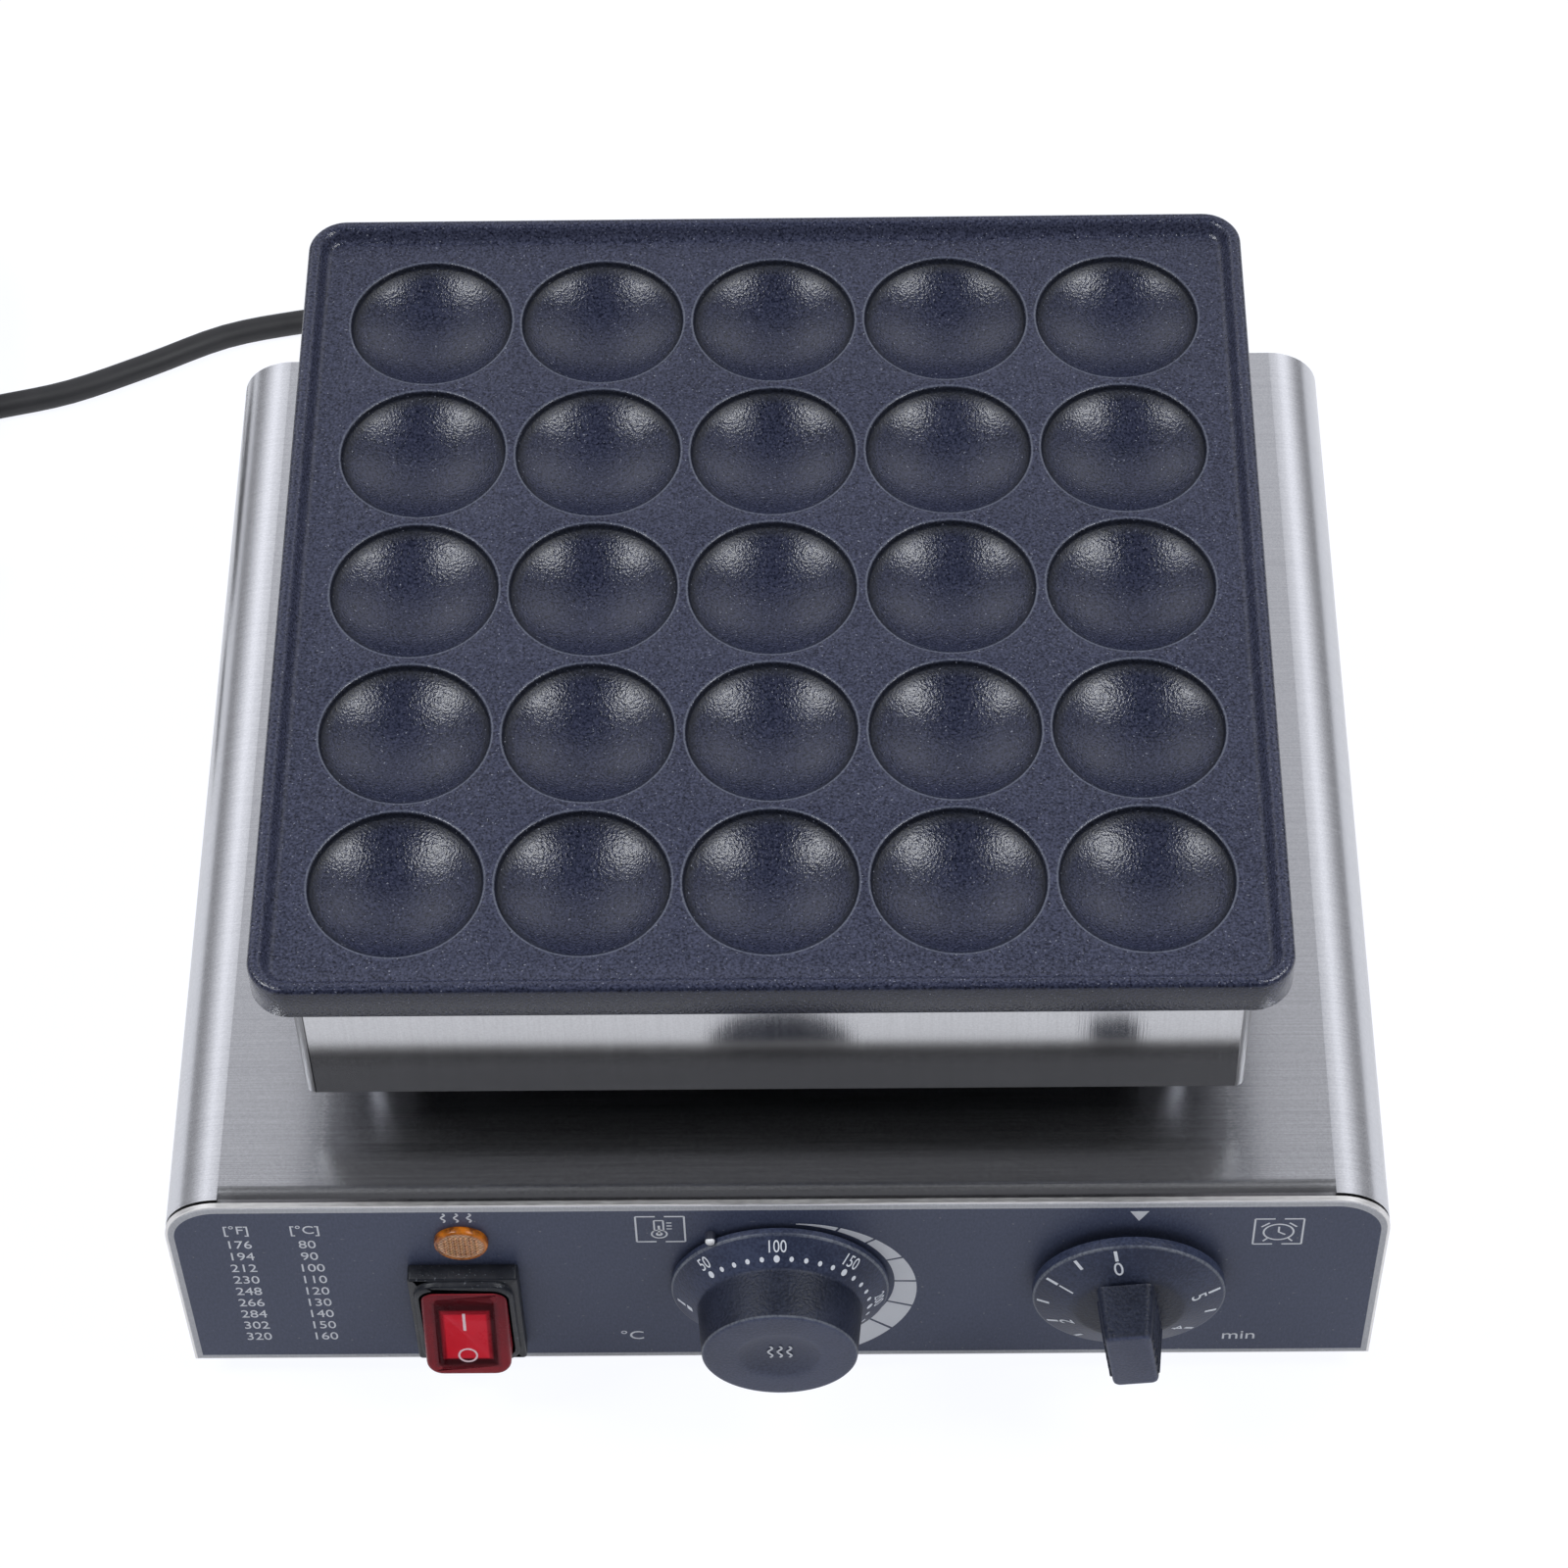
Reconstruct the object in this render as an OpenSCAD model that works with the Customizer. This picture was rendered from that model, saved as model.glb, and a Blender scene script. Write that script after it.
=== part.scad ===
// Mini pancake maker: a cast baking plate with a square grid of cups stands on a steel skirt and four
// posts over a low sheet-steel control casing with two dials, a rocker switch and a lamp.
// Millimetres. X runs right, Y runs back, Z runs up; the feet stand on Z = 0.

/* [Casing] */
// Width of the casing over its side walls
casing_w = 320; // [310:1:340]
// Depth of the casing from its rolled front edge to its rear flange
casing_d = 290; // [280:1:310]
// Height of the casing's walls
casing_h = 80; // [78:1:95]
// Outer radius of the bends between top and sides
casing_r = 15; // [10:0.5:18]
// Thickness of the steel sheet
sheet = 1; // [0.8:0.1:1.2]
// Outer radius of the roll along the front edge
roll_r = 5; // [3:0.5:6]
// Width of the flanges at the sides, rear and bottom
flange = 12; // [11:0.5:14]
// Width of the flat flange below the roll of the top
top_flange = 4; // [2:0.5:5]
// Height of the rubber feet
foot_h = 7; // [5:0.5:12]
// Diameter of the rubber feet
foot_d = 22; // [18:1:28]
// Distance from the casing's sides to the middle of a foot
foot_inset = 32; // [28:1:45]

/* [Baking plate] */
// Cups along each side
cup_n = 5; // [3:1:5]
// Distance between cup centres
cup_pitch = 47.5; // [46.5:0.25:48.5]
// Diameter of a cup at its mouth
cup_d = 45; // [40:0.5:45.5]
// Depth of a cup
cup_depth = 9; // [7:0.5:10]
// Depth of the steep wall at a cup's mouth
cup_wall = 1.8; // [1:0.1:2.5]
// Width of the square plate
plate_w = 261; // [256:1:268]
// Radius of the plate's corners
plate_r = 10.5; // [8:0.5:14]
// Height of the plate's outer wall up to the plane of the cups
plate_edge = 7.7; // [6:0.1:10]
// Height of the raised rim above the plane of the cups
rim_h = 3.9; // [2:0.1:5]
// Width of the raised rim
rim_w = 4.2; // [3:0.1:6]
// Depth of the plate's slab inside the skirt
slab_drop = 5; // [4:0.5:8]

/* [Skirt and posts] */
// Width of the square skirt
skirt_w = 243; // [238:1:246]
// Height of the skirt
skirt_h = 48.5; // [44:0.5:60]
// Radius of the skirt's corners
skirt_r = 2.5; // [1.5:0.5:5]
// Width of the flange at the skirt's foot
skirt_flange = 34; // [32:1:40]
// Height of the posts between casing and skirt
post_h = 16; // [12:0.5:25]
// Diameter of the posts
post_d = 16; // [14:0.5:20]
// Distance of the posts' axes inside the skirt's faces
post_inset = 20.5; // [18:0.5:22]
// Diameter of the wire conduit
conduit_d = 20; // [18:0.5:24]
// Distance of the conduit behind the middle
conduit_y = 60; // [52:1:68]
// Thickness of the insulation board
board_h = 18; // [14:1:22]
// Diameter of the heating tube
tube_d = 8; // [6.5:0.5:8.5]

/* [Front panel] */
// Thickness of the panel's steel plate
panel_t = 1.3; // [1:0.1:2]
// Gap between the panel and the casing
panel_gap = 0.1; // [0.1:0.05:0.5]
// Slit between the panel and the casing's rounded corners
corner_slit = 0.8; // [0.3:0.1:2]
// Thickness of the printed overlay
film = 0.2; // [0.1:0.05:0.5]
// Steel margin around the overlay
film_margin = 0.7; // [0.5:0.1:2]
// Height of both dial axes above the casing's lower edge
dial_z = 41; // [38:0.5:44]
// Sideways place of the thermostat dial
thermostat_x = 0.5; // [-4:0.5:8]
// Distance of the timer dial's axis inside the casing's right side
timer_inset = 67.2; // [60:0.2:72]
// Distance of the switch inside the casing's left side
switch_inset = 76.8; // [70:0.2:82]
// Height of the rocker's pivot above the middle of the space below the lamp
switch_lift = 1.15; // [0:0.05:3]
// Sideways step from the switch to the lamp
lamp_step = 0.6; // [-3:0.1:3]
// Distance of the lamp below the casing's top
lamp_drop = 17.2; // [16.9:0.1:20]

/* [Controls] */
// Diameter of the thermostat dial
thermostat_d = 57.6; // [54:0.2:60]
// Diameter of the thermostat's grip at its front
grip_d = 41; // [36:0.5:44]
// Distance from the panel to the front of the thermostat's grip
grip_front = 23; // [20:0.5:26]
// Diameter of the timer dial
timer_d = 51; // [48:0.5:56]
// Gap between the panel and the timer dial
timer_gap = 2.2; // [1.6:0.1:3]
// Distance from the panel to the front of the timer's bar
bar_front = 25.3; // [22:0.1:28]
// Length of the timer's bar
bar_l = 25.5; // [22:0.5:30]
// Width of the timer's bar at its front
bar_w = 12; // [9:0.2:13]
// Turn of the timer's knob to the left of its mark, in degrees
timer_turn = 7.8; // [0:0.1:20]
// Radius of both dial shafts
shaft_r = 3; // [2.5:0.1:3.2]
// Width of the rocker
rocker_w = 22.8; // [21:0.2:24]
// Height of the rocker's face
rocker_h = 32.5; // [29:0.5:33]
// Tilt of the rocker to either side, in degrees
rocker_tilt = 14; // [10:0.5:14]
// Diameter of the lamp's lens
lens_d = 14.2; // [13:0.1:16]

/* [Cord] */
// Diameter of the mains cord
cord_d = 7.8; // [6:0.1:8]
// Sideways place of the cord's gland
gland_x = -60; // [-70:1:-50]
// Height of the gland above the casing's lower edge
gland_z = 22; // [20:0.5:30]
// Length of the gland's tapered boot
boot_l = 40; // [25:1:55]

/* [Hidden] */
post_at = skirt_w / 2 - post_inset;
timer_x = casing_w / 2 - timer_inset;
switch_x = switch_inset - casing_w / 2;
lamp_x = switch_x + lamp_step;
lamp_z = casing_h - lamp_drop;
switch_z = (lamp_z - lens_d / 2) / 2 + switch_lift;
$fn = 64;
turn_gap = 0.05;   // radial running clearance of a shaft or pin
fit = 0.2;         // clearance of a screw, stud or bolt in its hole
seat_gap = 0.1;    // gap under a clamped tube
slip = 0.5;        // gap around a piece that drops into a box
over = 1;          // how far a cut runs past a face

// Levels, from the floor up
case_z = foot_h + sheet;
top_z = case_z + casing_h;
skirt_z = top_z + post_h;
wall_z = skirt_z + skirt_h;
cup_z = wall_z + plate_edge;
rim_z = cup_z + rim_h;
under_z = wall_z - slab_drop;
tray_z = skirt_z + sheet;
board_z = tray_z + sheet;
mirror_z = board_z + board_h;
tube_z = under_z - seat_gap - tube_d / 2;
clamp_t = 2;
clamp_z = under_z - 2 * seat_gap - tube_d - clamp_t;

// Planes, from the front to the rear, measured from the middle of the casing
front_y = -casing_d / 2;
rear_y = casing_d / 2;
back_y = front_y - panel_gap;
steel_y = back_y - panel_t;
face_y = steel_y - film;

// Fasteners
screw_r = 2;
screw_head_r = 3.5;
screw_head_h = 2;
screw_l = 6;
bolt_r = 3;
bolt_head_r = 5.5;
bolt_head_h = 4;
nut_h = 5;
stud_r = 2;
stud_l = 8;
stud_nut_r = 3.8;
stud_nut_h = 3.2;
clamp_bolt_r = 2.5;
clamp_bolt_depth = 8;
edge_hole_inset = 20;
foot_recess = 2.6;

// The whole object is centred fore-and-aft between its dials and its rear screw heads
back_reach = rear_y + sheet + screw_head_h;
front_reach = max(grip_front, bar_front) - face_y;
shift_y = (front_reach - back_reach) / 2;

// Heating tube: two outer and two inner runs along Y, joined by three round bends
run_in = cup_pitch;
run_out = 2 * cup_pitch;
bend_out = (run_out - run_in) / 2;
front_bend_y = -1.5 * cup_pitch;
rear_bend_y = cup_pitch;
pin_y = 1.9 * cup_pitch;
pin_bend = 10;
pin_l = 2;
clamp_rows = [-1.5, -0.5, 0.5, 1.5];
clamp_w = 14;
clamp_l = 2 * run_out + clamp_w;
clamp_corner = 3;

// Control depths behind the panel's steel
inner_z = -film - panel_t;
bracket_t = 1.5;
thermostat_box = [44, 44, 32];
thermostat_bracket = [50, 30];
bracket_corner = 3;
cutout_tab = [8, 5];
timer_box = [50, 50, 28];
bush_r = 5;
shaft_in = 20;
dial_gap = 0.8;
dial_rim = 2.2;
timer_rim = 3.3;
flat_d = max(dial_gap + dial_rim, timer_gap + timer_rim) + over;
dial_wall = 2;
hub_r = 6;
thermostat_screw_x = 14;
timer_screw_x = 11;

// Switch
pivot_d = 2.2;
rocker_face = 7.9;
rocker_back = 2.5;
rocker_r = 4.5;
pin_r = 1.5;
pin_reach = 1.2;
well_w = rocker_w + 0.8;
swing_room = 3.5;
well_h = rocker_h + swing_room;
well_depth = 4.6;
frame_w = well_w + 2.8;
frame_h = well_h + 4;
frame_front = 6.2;
flange_front = 4.6;
switch_flange_w = frame_w + 2.8;
switch_flange_h = frame_h + 2.4;
switch_depth = 26;
tab = [6.3, 0.8, 10];

// Lamp
lens_front = 2.4;
stem_r = 4.8;
stem_in = 6;
lamp_l = 18;
clip_r = 7.6;
clip_t = 1.2;

// Gland, cord and coil
cord_r = cord_d / 2;
gland_r = 9;
gland_flange_r = 12;
gland_flange_t = 3;
gland_in = 14;
cord_sides = 8;
wire_r = 1.3;
wire_sides = 6;
tie_t = 1.2;
tie_w = 12;
coil_turns = 4.75;
coil_layers = 4;
coil_rings = 24;
coil_sides = 6;
coil_in = 30;
coil_gap = 0.6;
coil_step = cord_d + coil_gap;
layer_turns = coil_turns / coil_layers;
coil_out = coil_in + coil_step * layer_turns;
coil_base = tie_t + 0.3 + cord_r;
coil_at = [-305, 244];
plug_at = [-268, 168];
plug_w = 27;
plug_h = 24;
plug_l = 30;
plug_boot = 20;

// Points of the mains cord between its gland, its coil and its plug
gland_tip = [gland_x, rear_y + sheet + gland_flange_t + boot_l + shift_y, case_z + gland_z];
coil_enter = [coil_at.x + cord_d, coil_at.y - coil_out, coil_base];
coil_leave = [coil_at.x + coil_out, coil_at.y - cord_d, coil_base + (coil_layers - 1) * coil_step];
plug_tip = [plug_at.x, plug_at.y, plug_h / 2];
straight = [0, 8, 0];
cord_route = concat([gland_tip, gland_tip + straight],
    [[-63, 224, 26], [-73, 238, 20], [-90, 247, 13], [-112, 251, 8], [-134, 251, 5.5], [-157, 249, 4],
     [-181, 243, 4], [-205, 231, 4], [-229, 220, 4], [-251, 214, 4], [-272, 208, 5]],
    [coil_enter + [8, 0, 0], coil_enter]);
tail_route = concat([coil_leave, coil_leave - straight],
    [[-266, 212, 26], [-267, 198, 20], [-268, 186, 14]],
    [plug_tip + straight, plug_tip]);

// Coil: it spirals in and out again layer by layer and climbs where the spiral turns back
function layer_of(t) = min(floor(t / layer_turns), coil_layers - 1);
function share(t) = t / layer_turns - layer_of(t);
function coil_r(t) = coil_out - (coil_out - coil_in) * (layer_of(t) % 2 == 0 ? share(t) : 1 - share(t));
function risen(t, k) = max(0, min(1, (t - k * layer_turns) * 2 + 0.5));
function coil_z(t) = coil_base + coil_step * (risen(t, 1) + risen(t, 2) + risen(t, 3));
function coil_point(t) = [coil_at.x + coil_r(t) * cos(-90 - 360 * t),
                          coil_at.y + coil_r(t) * sin(-90 - 360 * t), coil_z(t)];
coil_count = coil_turns * coil_rings;
coil_path = [for (i = [0:coil_count]) coil_point(i / coil_rings)];
half_turn = coil_rings / 2;
coil_least = min([for (i = [0:coil_count - half_turn], j = [i + half_turn:coil_count])
    norm(coil_path[i] - coil_path[j])]) - cord_d;
echo(least_gap_of_the_coil_to_itself = coil_least);

// Outline with four round corners, centred
module rounded(w, h, r) {
    square([w - 2 * r, h], center = true);
    square([w, h - 2 * r], center = true);
    for (x = [-1, 1], y = [-1, 1]) translate([x * (w / 2 - r), y * (h / 2 - r)]) circle(r);
}

// Outline with a flat foot at y = 0 and two round upper corners
module arch(w, h, r) {
    translate([-w / 2, 0]) square([w, h - r]);
    translate([-w / 2 + r, 0]) square([w - 2 * r, h]);
    for (x = [-1, 1]) translate([x * (w / 2 - r), h - r]) circle(r);
}

// Stand an outline upright on the casing's lower edge, from y to y + t
module upright(y, t) {
    translate([0, y + t, case_z]) rotate([90, 0, 0]) linear_extrude(t) children();
}

// Place what stands on the panel: its own Z points out of the panel and its own Y points up
module on_panel(x, z) {
    translate([x, face_y, case_z + z]) rotate([90, 0, 0]) children();
}

// Place a copy at each corner of a rectangle
module at_corners(x, y) {
    for (i = [-1, 1], j = [-1, 1]) translate([i * x, j * y, 0]) children();
}

// Corner number 1 to 4, counted from the front left
function corner(i, x, y) = [(i % 2 == 0 ? 1 : -1) * x, (i > 2 ? 1 : -1) * y, 0];

// Pan-head screw along its own Z: the head stands on the face at z = 0
module screw(length) {
    cylinder(h = screw_head_h, r = screw_head_r);
    translate([0, 0, -length]) cylinder(h = length + over / 2, r = screw_r);
}

// Hexagonal nut on a thread of radius r
module hex_nut(across_r, r, h) {
    difference() {
        cylinder(h = h, r = across_r, $fn = 6);
        translate([0, 0, -over]) cylinder(h = h + 2 * over, r = r + turn_gap);
    }
}

// Tube swept along points: one ring of corners at each point, closed at both ends
function unit(v) = v / norm(v);
function heading(p, i) = unit(p[min(i + 1, len(p) - 1)] - p[max(i - 1, 0)]);
module tube(p, r, sides, up = [0, 0, 1]) {
    n = len(p);
    last = (n - 1) * sides;
    rings = [for (i = [0:n - 1]) let (t = heading(p, i), a = unit(cross(t, up)), b = cross(a, t))
        for (k = [0:sides - 1]) p[i] + r * (cos(360 * k / sides) * a + sin(360 * k / sides) * b)];
    walls = [for (i = [0:n - 2], k = [0:sides - 1]) let (q = i * sides, m = (k + 1) % sides)
        each [[q + k, q + m, q + sides + m], [q + k, q + sides + m, q + sides + k]]];
    ends = [for (k = [1:sides - 2]) each [[0, k + 1, k], [last, last + k, last + k + 1]]];
    polyhedron(rings, concat(walls, ends));
}

// Casing: one sheet bent over the top and both sides, rolled in along its front edge
module roll(length) {
    intersection() {
        difference() {
            circle(roll_r);
            circle(roll_r - sheet);
        }
        translate([-roll_r, 0]) square(roll_r);
    }
    translate([-roll_r, -length]) square([sheet, length]);
}

module corner_bend() {
    difference() {
        intersection() {
            circle(casing_r);
            square(casing_r);
        }
        circle(casing_r - sheet);
    }
}

panel_stud_x = casing_w / 2 - roll_r - flange / 2;
panel_stud_z = [edge_hole_inset, casing_h - casing_r - edge_hole_inset / 2];
rear_hole_x = casing_w / 2 - sheet - flange / 2;
rear_hole_z = [edge_hole_inset, casing_h - casing_r - edge_hole_inset / 2];
rear_top_z = casing_h - sheet - flange / 2;
rear_top_x = casing_w / 4;
base_hole_y = casing_d / 2 - 2 * edge_hole_inset;

module at_rear_screws() {
    for (s = [-1, 1], z = rear_hole_z) translate([s * rear_hole_x, rear_y, case_z + z]) children();
    for (s = [-1, 1]) translate([s * rear_top_x, rear_y, case_z + rear_top_z]) children();
}

module at_base_screws() {
    for (s = [-1, 1], y = [-1, 0, 1]) translate([s * rear_hole_x, y * base_hole_y, foot_h]) children();
}

module casing() {
    roll_y = front_y + roll_r;
    side_h = casing_h - casing_r;
    flange_x = casing_w / 2 - sheet - flange;
    color("silver") difference() {
        union() {
            upright(roll_y, casing_d - roll_r) difference() {
                arch(casing_w, casing_h, casing_r);
                translate([0, -over]) arch(casing_w - 2 * sheet, casing_h - sheet + over, casing_r - sheet);
            }
            translate([-casing_w / 2 + casing_r, roll_y, top_z - roll_r]) rotate([90, 0, 90])
                linear_extrude(casing_w - 2 * casing_r) roll(top_flange);
            for (s = [0, 1]) mirror([s, 0, 0]) {
                upright(front_y + corner_slit, roll_r - corner_slit + over)
                    translate([casing_w / 2 - casing_r, side_h]) corner_bend();
                translate([casing_w / 2 - roll_r, roll_y, case_z]) linear_extrude(side_h)
                    mirror([1, -1, 0]) roll(flange);
                translate([flange_x, roll_y, case_z]) cube([flange + sheet / 2, casing_d - roll_r, sheet]);
                translate([flange_x, rear_y - sheet, case_z]) cube([flange + sheet / 2, sheet, side_h]);
            }
            translate([-casing_w / 2 + casing_r, rear_y - sheet, top_z - sheet - flange])
                cube([casing_w - 2 * casing_r, sheet, flange + sheet / 2]);
        }
        at_corners(post_at, post_at) translate([0, 0, top_z - 2 * sheet])
            cylinder(h = 4 * sheet, r = bolt_r + fit);
        translate([0, conduit_y, top_z - 2 * sheet]) cylinder(h = 4 * sheet, r = conduit_d / 2 - dial_wall);
        for (s = [-1, 1], z = panel_stud_z) translate([s * panel_stud_x, front_y - over, case_z + z])
            rotate([-90, 0, 0]) cylinder(h = 2 * over + sheet, r = stud_r + fit);
        at_rear_screws() rotate([90, 0, 0]) translate([0, 0, -over])
            cylinder(h = 2 * over + sheet, r = screw_r + turn_gap);
        at_base_screws() cylinder(h = 3 * sheet, r = screw_r + turn_gap);
    }
}

// Front panel: a flat steel plate with studs on its back and the controls' openings
module control_holes(extra) {
    translate([thermostat_x, dial_z]) circle(bush_r + fit + extra);
    translate([timer_x, dial_z]) circle(bush_r + fit + extra);
    for (s = [-1, 1]) translate([thermostat_x + s * thermostat_screw_x, dial_z])
        circle(screw_r + fit + 3 * extra);
    for (s = [-1, 1]) translate([timer_x + s * timer_screw_x, dial_z]) circle(screw_r + fit + 3 * extra);
    translate([switch_x, switch_z]) square([frame_w + 2 * fit, frame_h + 2 * fit], center = true);
    translate([lamp_x, lamp_z]) circle(stem_r + fit);
}

module front_panel() {
    color("silver") {
        upright(steel_y, panel_t) difference() {
            arch(casing_w, casing_h, casing_r);
            control_holes(0);
        }
        for (s = [-1, 1], z = panel_stud_z) translate([s * panel_stud_x, steel_y + panel_t / 2, case_z + z])
            rotate([-90, 0, 0]) cylinder(h = stud_l + panel_t / 2, r = stud_r);
    }
}

// Printed overlay on the panel's face
module panel_overlay() {
    color("dimgray") upright(face_y, film) difference() {
        translate([0, film_margin])
            arch(casing_w - 2 * film_margin, casing_h - 2 * film_margin, casing_r - film_margin);
        control_holes(0.6);
    }
}

// Nuts that hold the panel's studs behind the casing's side flanges
module panel_nuts() {
    color("lightgray") for (s = [-1, 1], z = panel_stud_z)
        translate([s * panel_stud_x, front_y + sheet, case_z + z]) rotate([-90, 0, 0])
            hex_nut(stud_nut_r, stud_r, stud_nut_h);
}

// Rear panel with two groups of upright vent slots and the cord's hole
slot_w = 4;
slot_h = 30;
slot_step = 10;
slot_n = 7;
slot_group_x = casing_w / 4;
module rear_panel() {
    trim = sheet;
    color("silver") difference() {
        upright(rear_y, sheet) difference() {
            arch(casing_w - 2 * trim, casing_h - trim, casing_r - trim);
            for (g = [0, 1], i = [0:slot_n - 1])
                translate([g * slot_group_x + (i - (slot_n - 1) / 2) * slot_step, casing_h / 2])
                    rounded(slot_w, slot_h, slot_w / 2 - fit);
            translate([gland_x, gland_z]) circle(gland_r + fit);
        }
        at_rear_screws() rotate([90, 0, 0]) translate([0, 0, -2 * over])
            cylinder(h = 4 * over, r = screw_r + fit);
    }
}

module rear_screws() {
    color("gray") at_rear_screws() translate([0, sheet, 0]) rotate([-90, 0, 0]) screw(screw_l);
}

// Base plate with round vents under the casing
vent_r = 3;
vent_step = 14;
vent_n = 9;
module base_plate() {
    color("silver") difference() {
        translate([0, (sheet - roll_r) / 2 + roll_r / 2, foot_h]) linear_extrude(sheet)
            rounded(casing_w - 2 * sheet, casing_d - sheet, roll_r);
        at_corners(casing_w / 2 - foot_inset, casing_d / 2 - foot_inset) translate([0, 0, foot_h - over])
            cylinder(h = sheet + 2 * over, r = screw_r + fit);
        at_base_screws() translate([0, 0, -over]) cylinder(h = sheet + 2 * over, r = screw_r + fit);
        for (i = [0:vent_n - 1], j = [-1:1])
            translate([(i - (vent_n - 1) / 2) * vent_step, j * vent_step, foot_h - over])
                cylinder(h = sheet + 2 * over, r = vent_r);
    }
}

module base_screws() {
    color("gray") at_base_screws() rotate([180, 0, 0]) screw(screw_l);
}

// Rubber foot with a sunk screw
module foot(i) {
    color("black") translate(corner(i, casing_w / 2 - foot_inset, casing_d / 2 - foot_inset)) difference() {
        cylinder(h = foot_h, r1 = foot_d / 2 - 1.5, r2 = foot_d / 2);
        translate([0, 0, -over]) cylinder(h = foot_recess + over, r = screw_head_r + over);
        cylinder(h = foot_h + over, r = screw_r + fit);
    }
}

module foot_screws() {
    color("gray") at_corners(casing_w / 2 - foot_inset, casing_d / 2 - foot_inset)
        translate([0, 0, foot_recess]) rotate([180, 0, 0])
            screw(case_z + stud_nut_h + over - foot_recess);
}

module foot_nuts() {
    color("lightgray") at_corners(casing_w / 2 - foot_inset, casing_d / 2 - foot_inset)
        translate([0, 0, case_z]) hex_nut(stud_nut_r, screw_r, stud_nut_h);
}

// Posts that carry the baking unit clear of the casing
module post(i) {
    color("silver") translate(corner(i, post_at, post_at)) translate([0, 0, top_z]) difference() {
        cylinder(h = post_h, r = post_d / 2);
        translate([0, 0, -over]) cylinder(h = post_h + 2 * over, r = bolt_r + fit);
    }
}

module post_bolts() {
    color("gray") at_corners(post_at, post_at) translate([0, 0, top_z - sheet]) {
        translate([0, 0, -bolt_head_h]) cylinder(h = bolt_head_h, r = bolt_head_r, $fn = 6);
        cylinder(h = post_h + 3 * sheet + nut_h + over, r = bolt_r);
    }
}

module post_nuts() {
    color("lightgray") at_corners(post_at, post_at) translate([0, 0, board_z])
        hex_nut(bolt_head_r, bolt_r, nut_h);
}

// Short tube that leads the wires and the capillary from the casing to the baking unit
module conduit() {
    color("silver") translate([0, conduit_y, top_z]) difference() {
        cylinder(h = tray_z - top_z, r = conduit_d / 2);
        translate([0, 0, -over]) cylinder(h = tray_z - top_z + 2 * over, r = conduit_d / 2 - dial_wall);
    }
}

// Skirt: a square steel box, open above, with a flange at its foot
module skirt() {
    color("silver") translate([0, 0, skirt_z]) {
        linear_extrude(skirt_h) difference() {
            rounded(skirt_w, skirt_w, skirt_r);
            rounded(skirt_w - 2 * sheet, skirt_w - 2 * sheet, skirt_r - sheet);
        }
        linear_extrude(sheet) difference() {
            rounded(skirt_w, skirt_w, skirt_r);
            square(skirt_w - 2 * skirt_flange, center = true);
            at_corners(post_at, post_at) circle(bolt_r + fit);
        }
    }
}

// Floor of the baking unit
module tray() {
    color("silver") translate([0, 0, tray_z]) linear_extrude(sheet) difference() {
        rounded(skirt_w - 2 * sheet - 2 * slip, skirt_w - 2 * sheet - 2 * slip, skirt_r);
        at_corners(post_at, post_at) circle(bolt_r + fit);
        translate([0, conduit_y]) circle(conduit_d / 2 - dial_wall);
    }
}

board_w = 2 * (post_at - bolt_head_r - 4 * slip);
module insulation_board() {
    color("ivory") translate([0, 0, board_z]) linear_extrude(board_h) difference() {
        square(board_w, center = true);
        translate([0, conduit_y]) circle(conduit_d / 2);
    }
}

module reflector() {
    color("gainsboro") translate([0, 0, mirror_z]) linear_extrude(sheet) difference() {
        square(board_w, center = true);
        translate([0, conduit_y]) circle(conduit_d / 2);
    }
}

// Baking plate: raised rim, flat top with a grid of cups, and a slab that drops into the skirt
cup_draft = 0.6;
bowl_depth = cup_depth - cup_wall;
bowl_mouth = cup_d / 2 - cup_draft;
bowl_r = (bowl_mouth * bowl_mouth + bowl_depth * bowl_depth) / (2 * bowl_depth);
module cup() {
    translate([0, 0, -cup_wall]) cylinder(h = cup_wall, r1 = bowl_mouth, r2 = cup_d / 2);
    cylinder(h = rim_h, r = cup_d / 2);
    translate([0, 0, -cup_depth]) rotate_extrude() intersection() {
        translate([0, bowl_r]) circle(bowl_r, $fn = 256);
        square([bowl_mouth, bowl_depth]);
    }
}

module at_clamp_bolts() {
    for (y = clamp_rows, x = clamp_rows) translate([x * cup_pitch, y * cup_pitch, 0]) children();
}

module baking_plate() {
    slab_w = skirt_w - 2 * sheet - 2 * slip;
    color("darkslategray") difference() {
        union() {
            translate([0, 0, wall_z]) linear_extrude(rim_z - wall_z) rounded(plate_w, plate_w, plate_r);
            translate([0, 0, under_z]) linear_extrude(slab_drop + over) rounded(slab_w, slab_w, skirt_r);
        }
        translate([0, 0, cup_z]) linear_extrude(rim_h + over)
            rounded(plate_w - 2 * rim_w, plate_w - 2 * rim_w, plate_r - rim_w);
        for (i = [0:cup_n - 1], j = [0:cup_n - 1])
            translate([(i - (cup_n - 1) / 2) * cup_pitch, (j - (cup_n - 1) / 2) * cup_pitch, cup_z]) cup();
        at_clamp_bolts() translate([0, 0, under_z - over])
            cylinder(h = clamp_bolt_depth + over, r = clamp_bolt_r + turn_gap);
    }
}

// Heating element: one round tube bent to and fro under the plate, its pins turned down at the rear
module tube_bend(centre, radius, from, sweep) {
    translate([centre.x, centre.y, tube_z]) rotate([0, 0, from])
        rotate_extrude(angle = sweep) translate([radius, 0]) circle(tube_d / 2);
}

module tube_run(x, y0, y1) {
    translate([x, y0, tube_z]) rotate([-90, 0, 0]) cylinder(h = y1 - y0, r = tube_d / 2);
}

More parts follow.
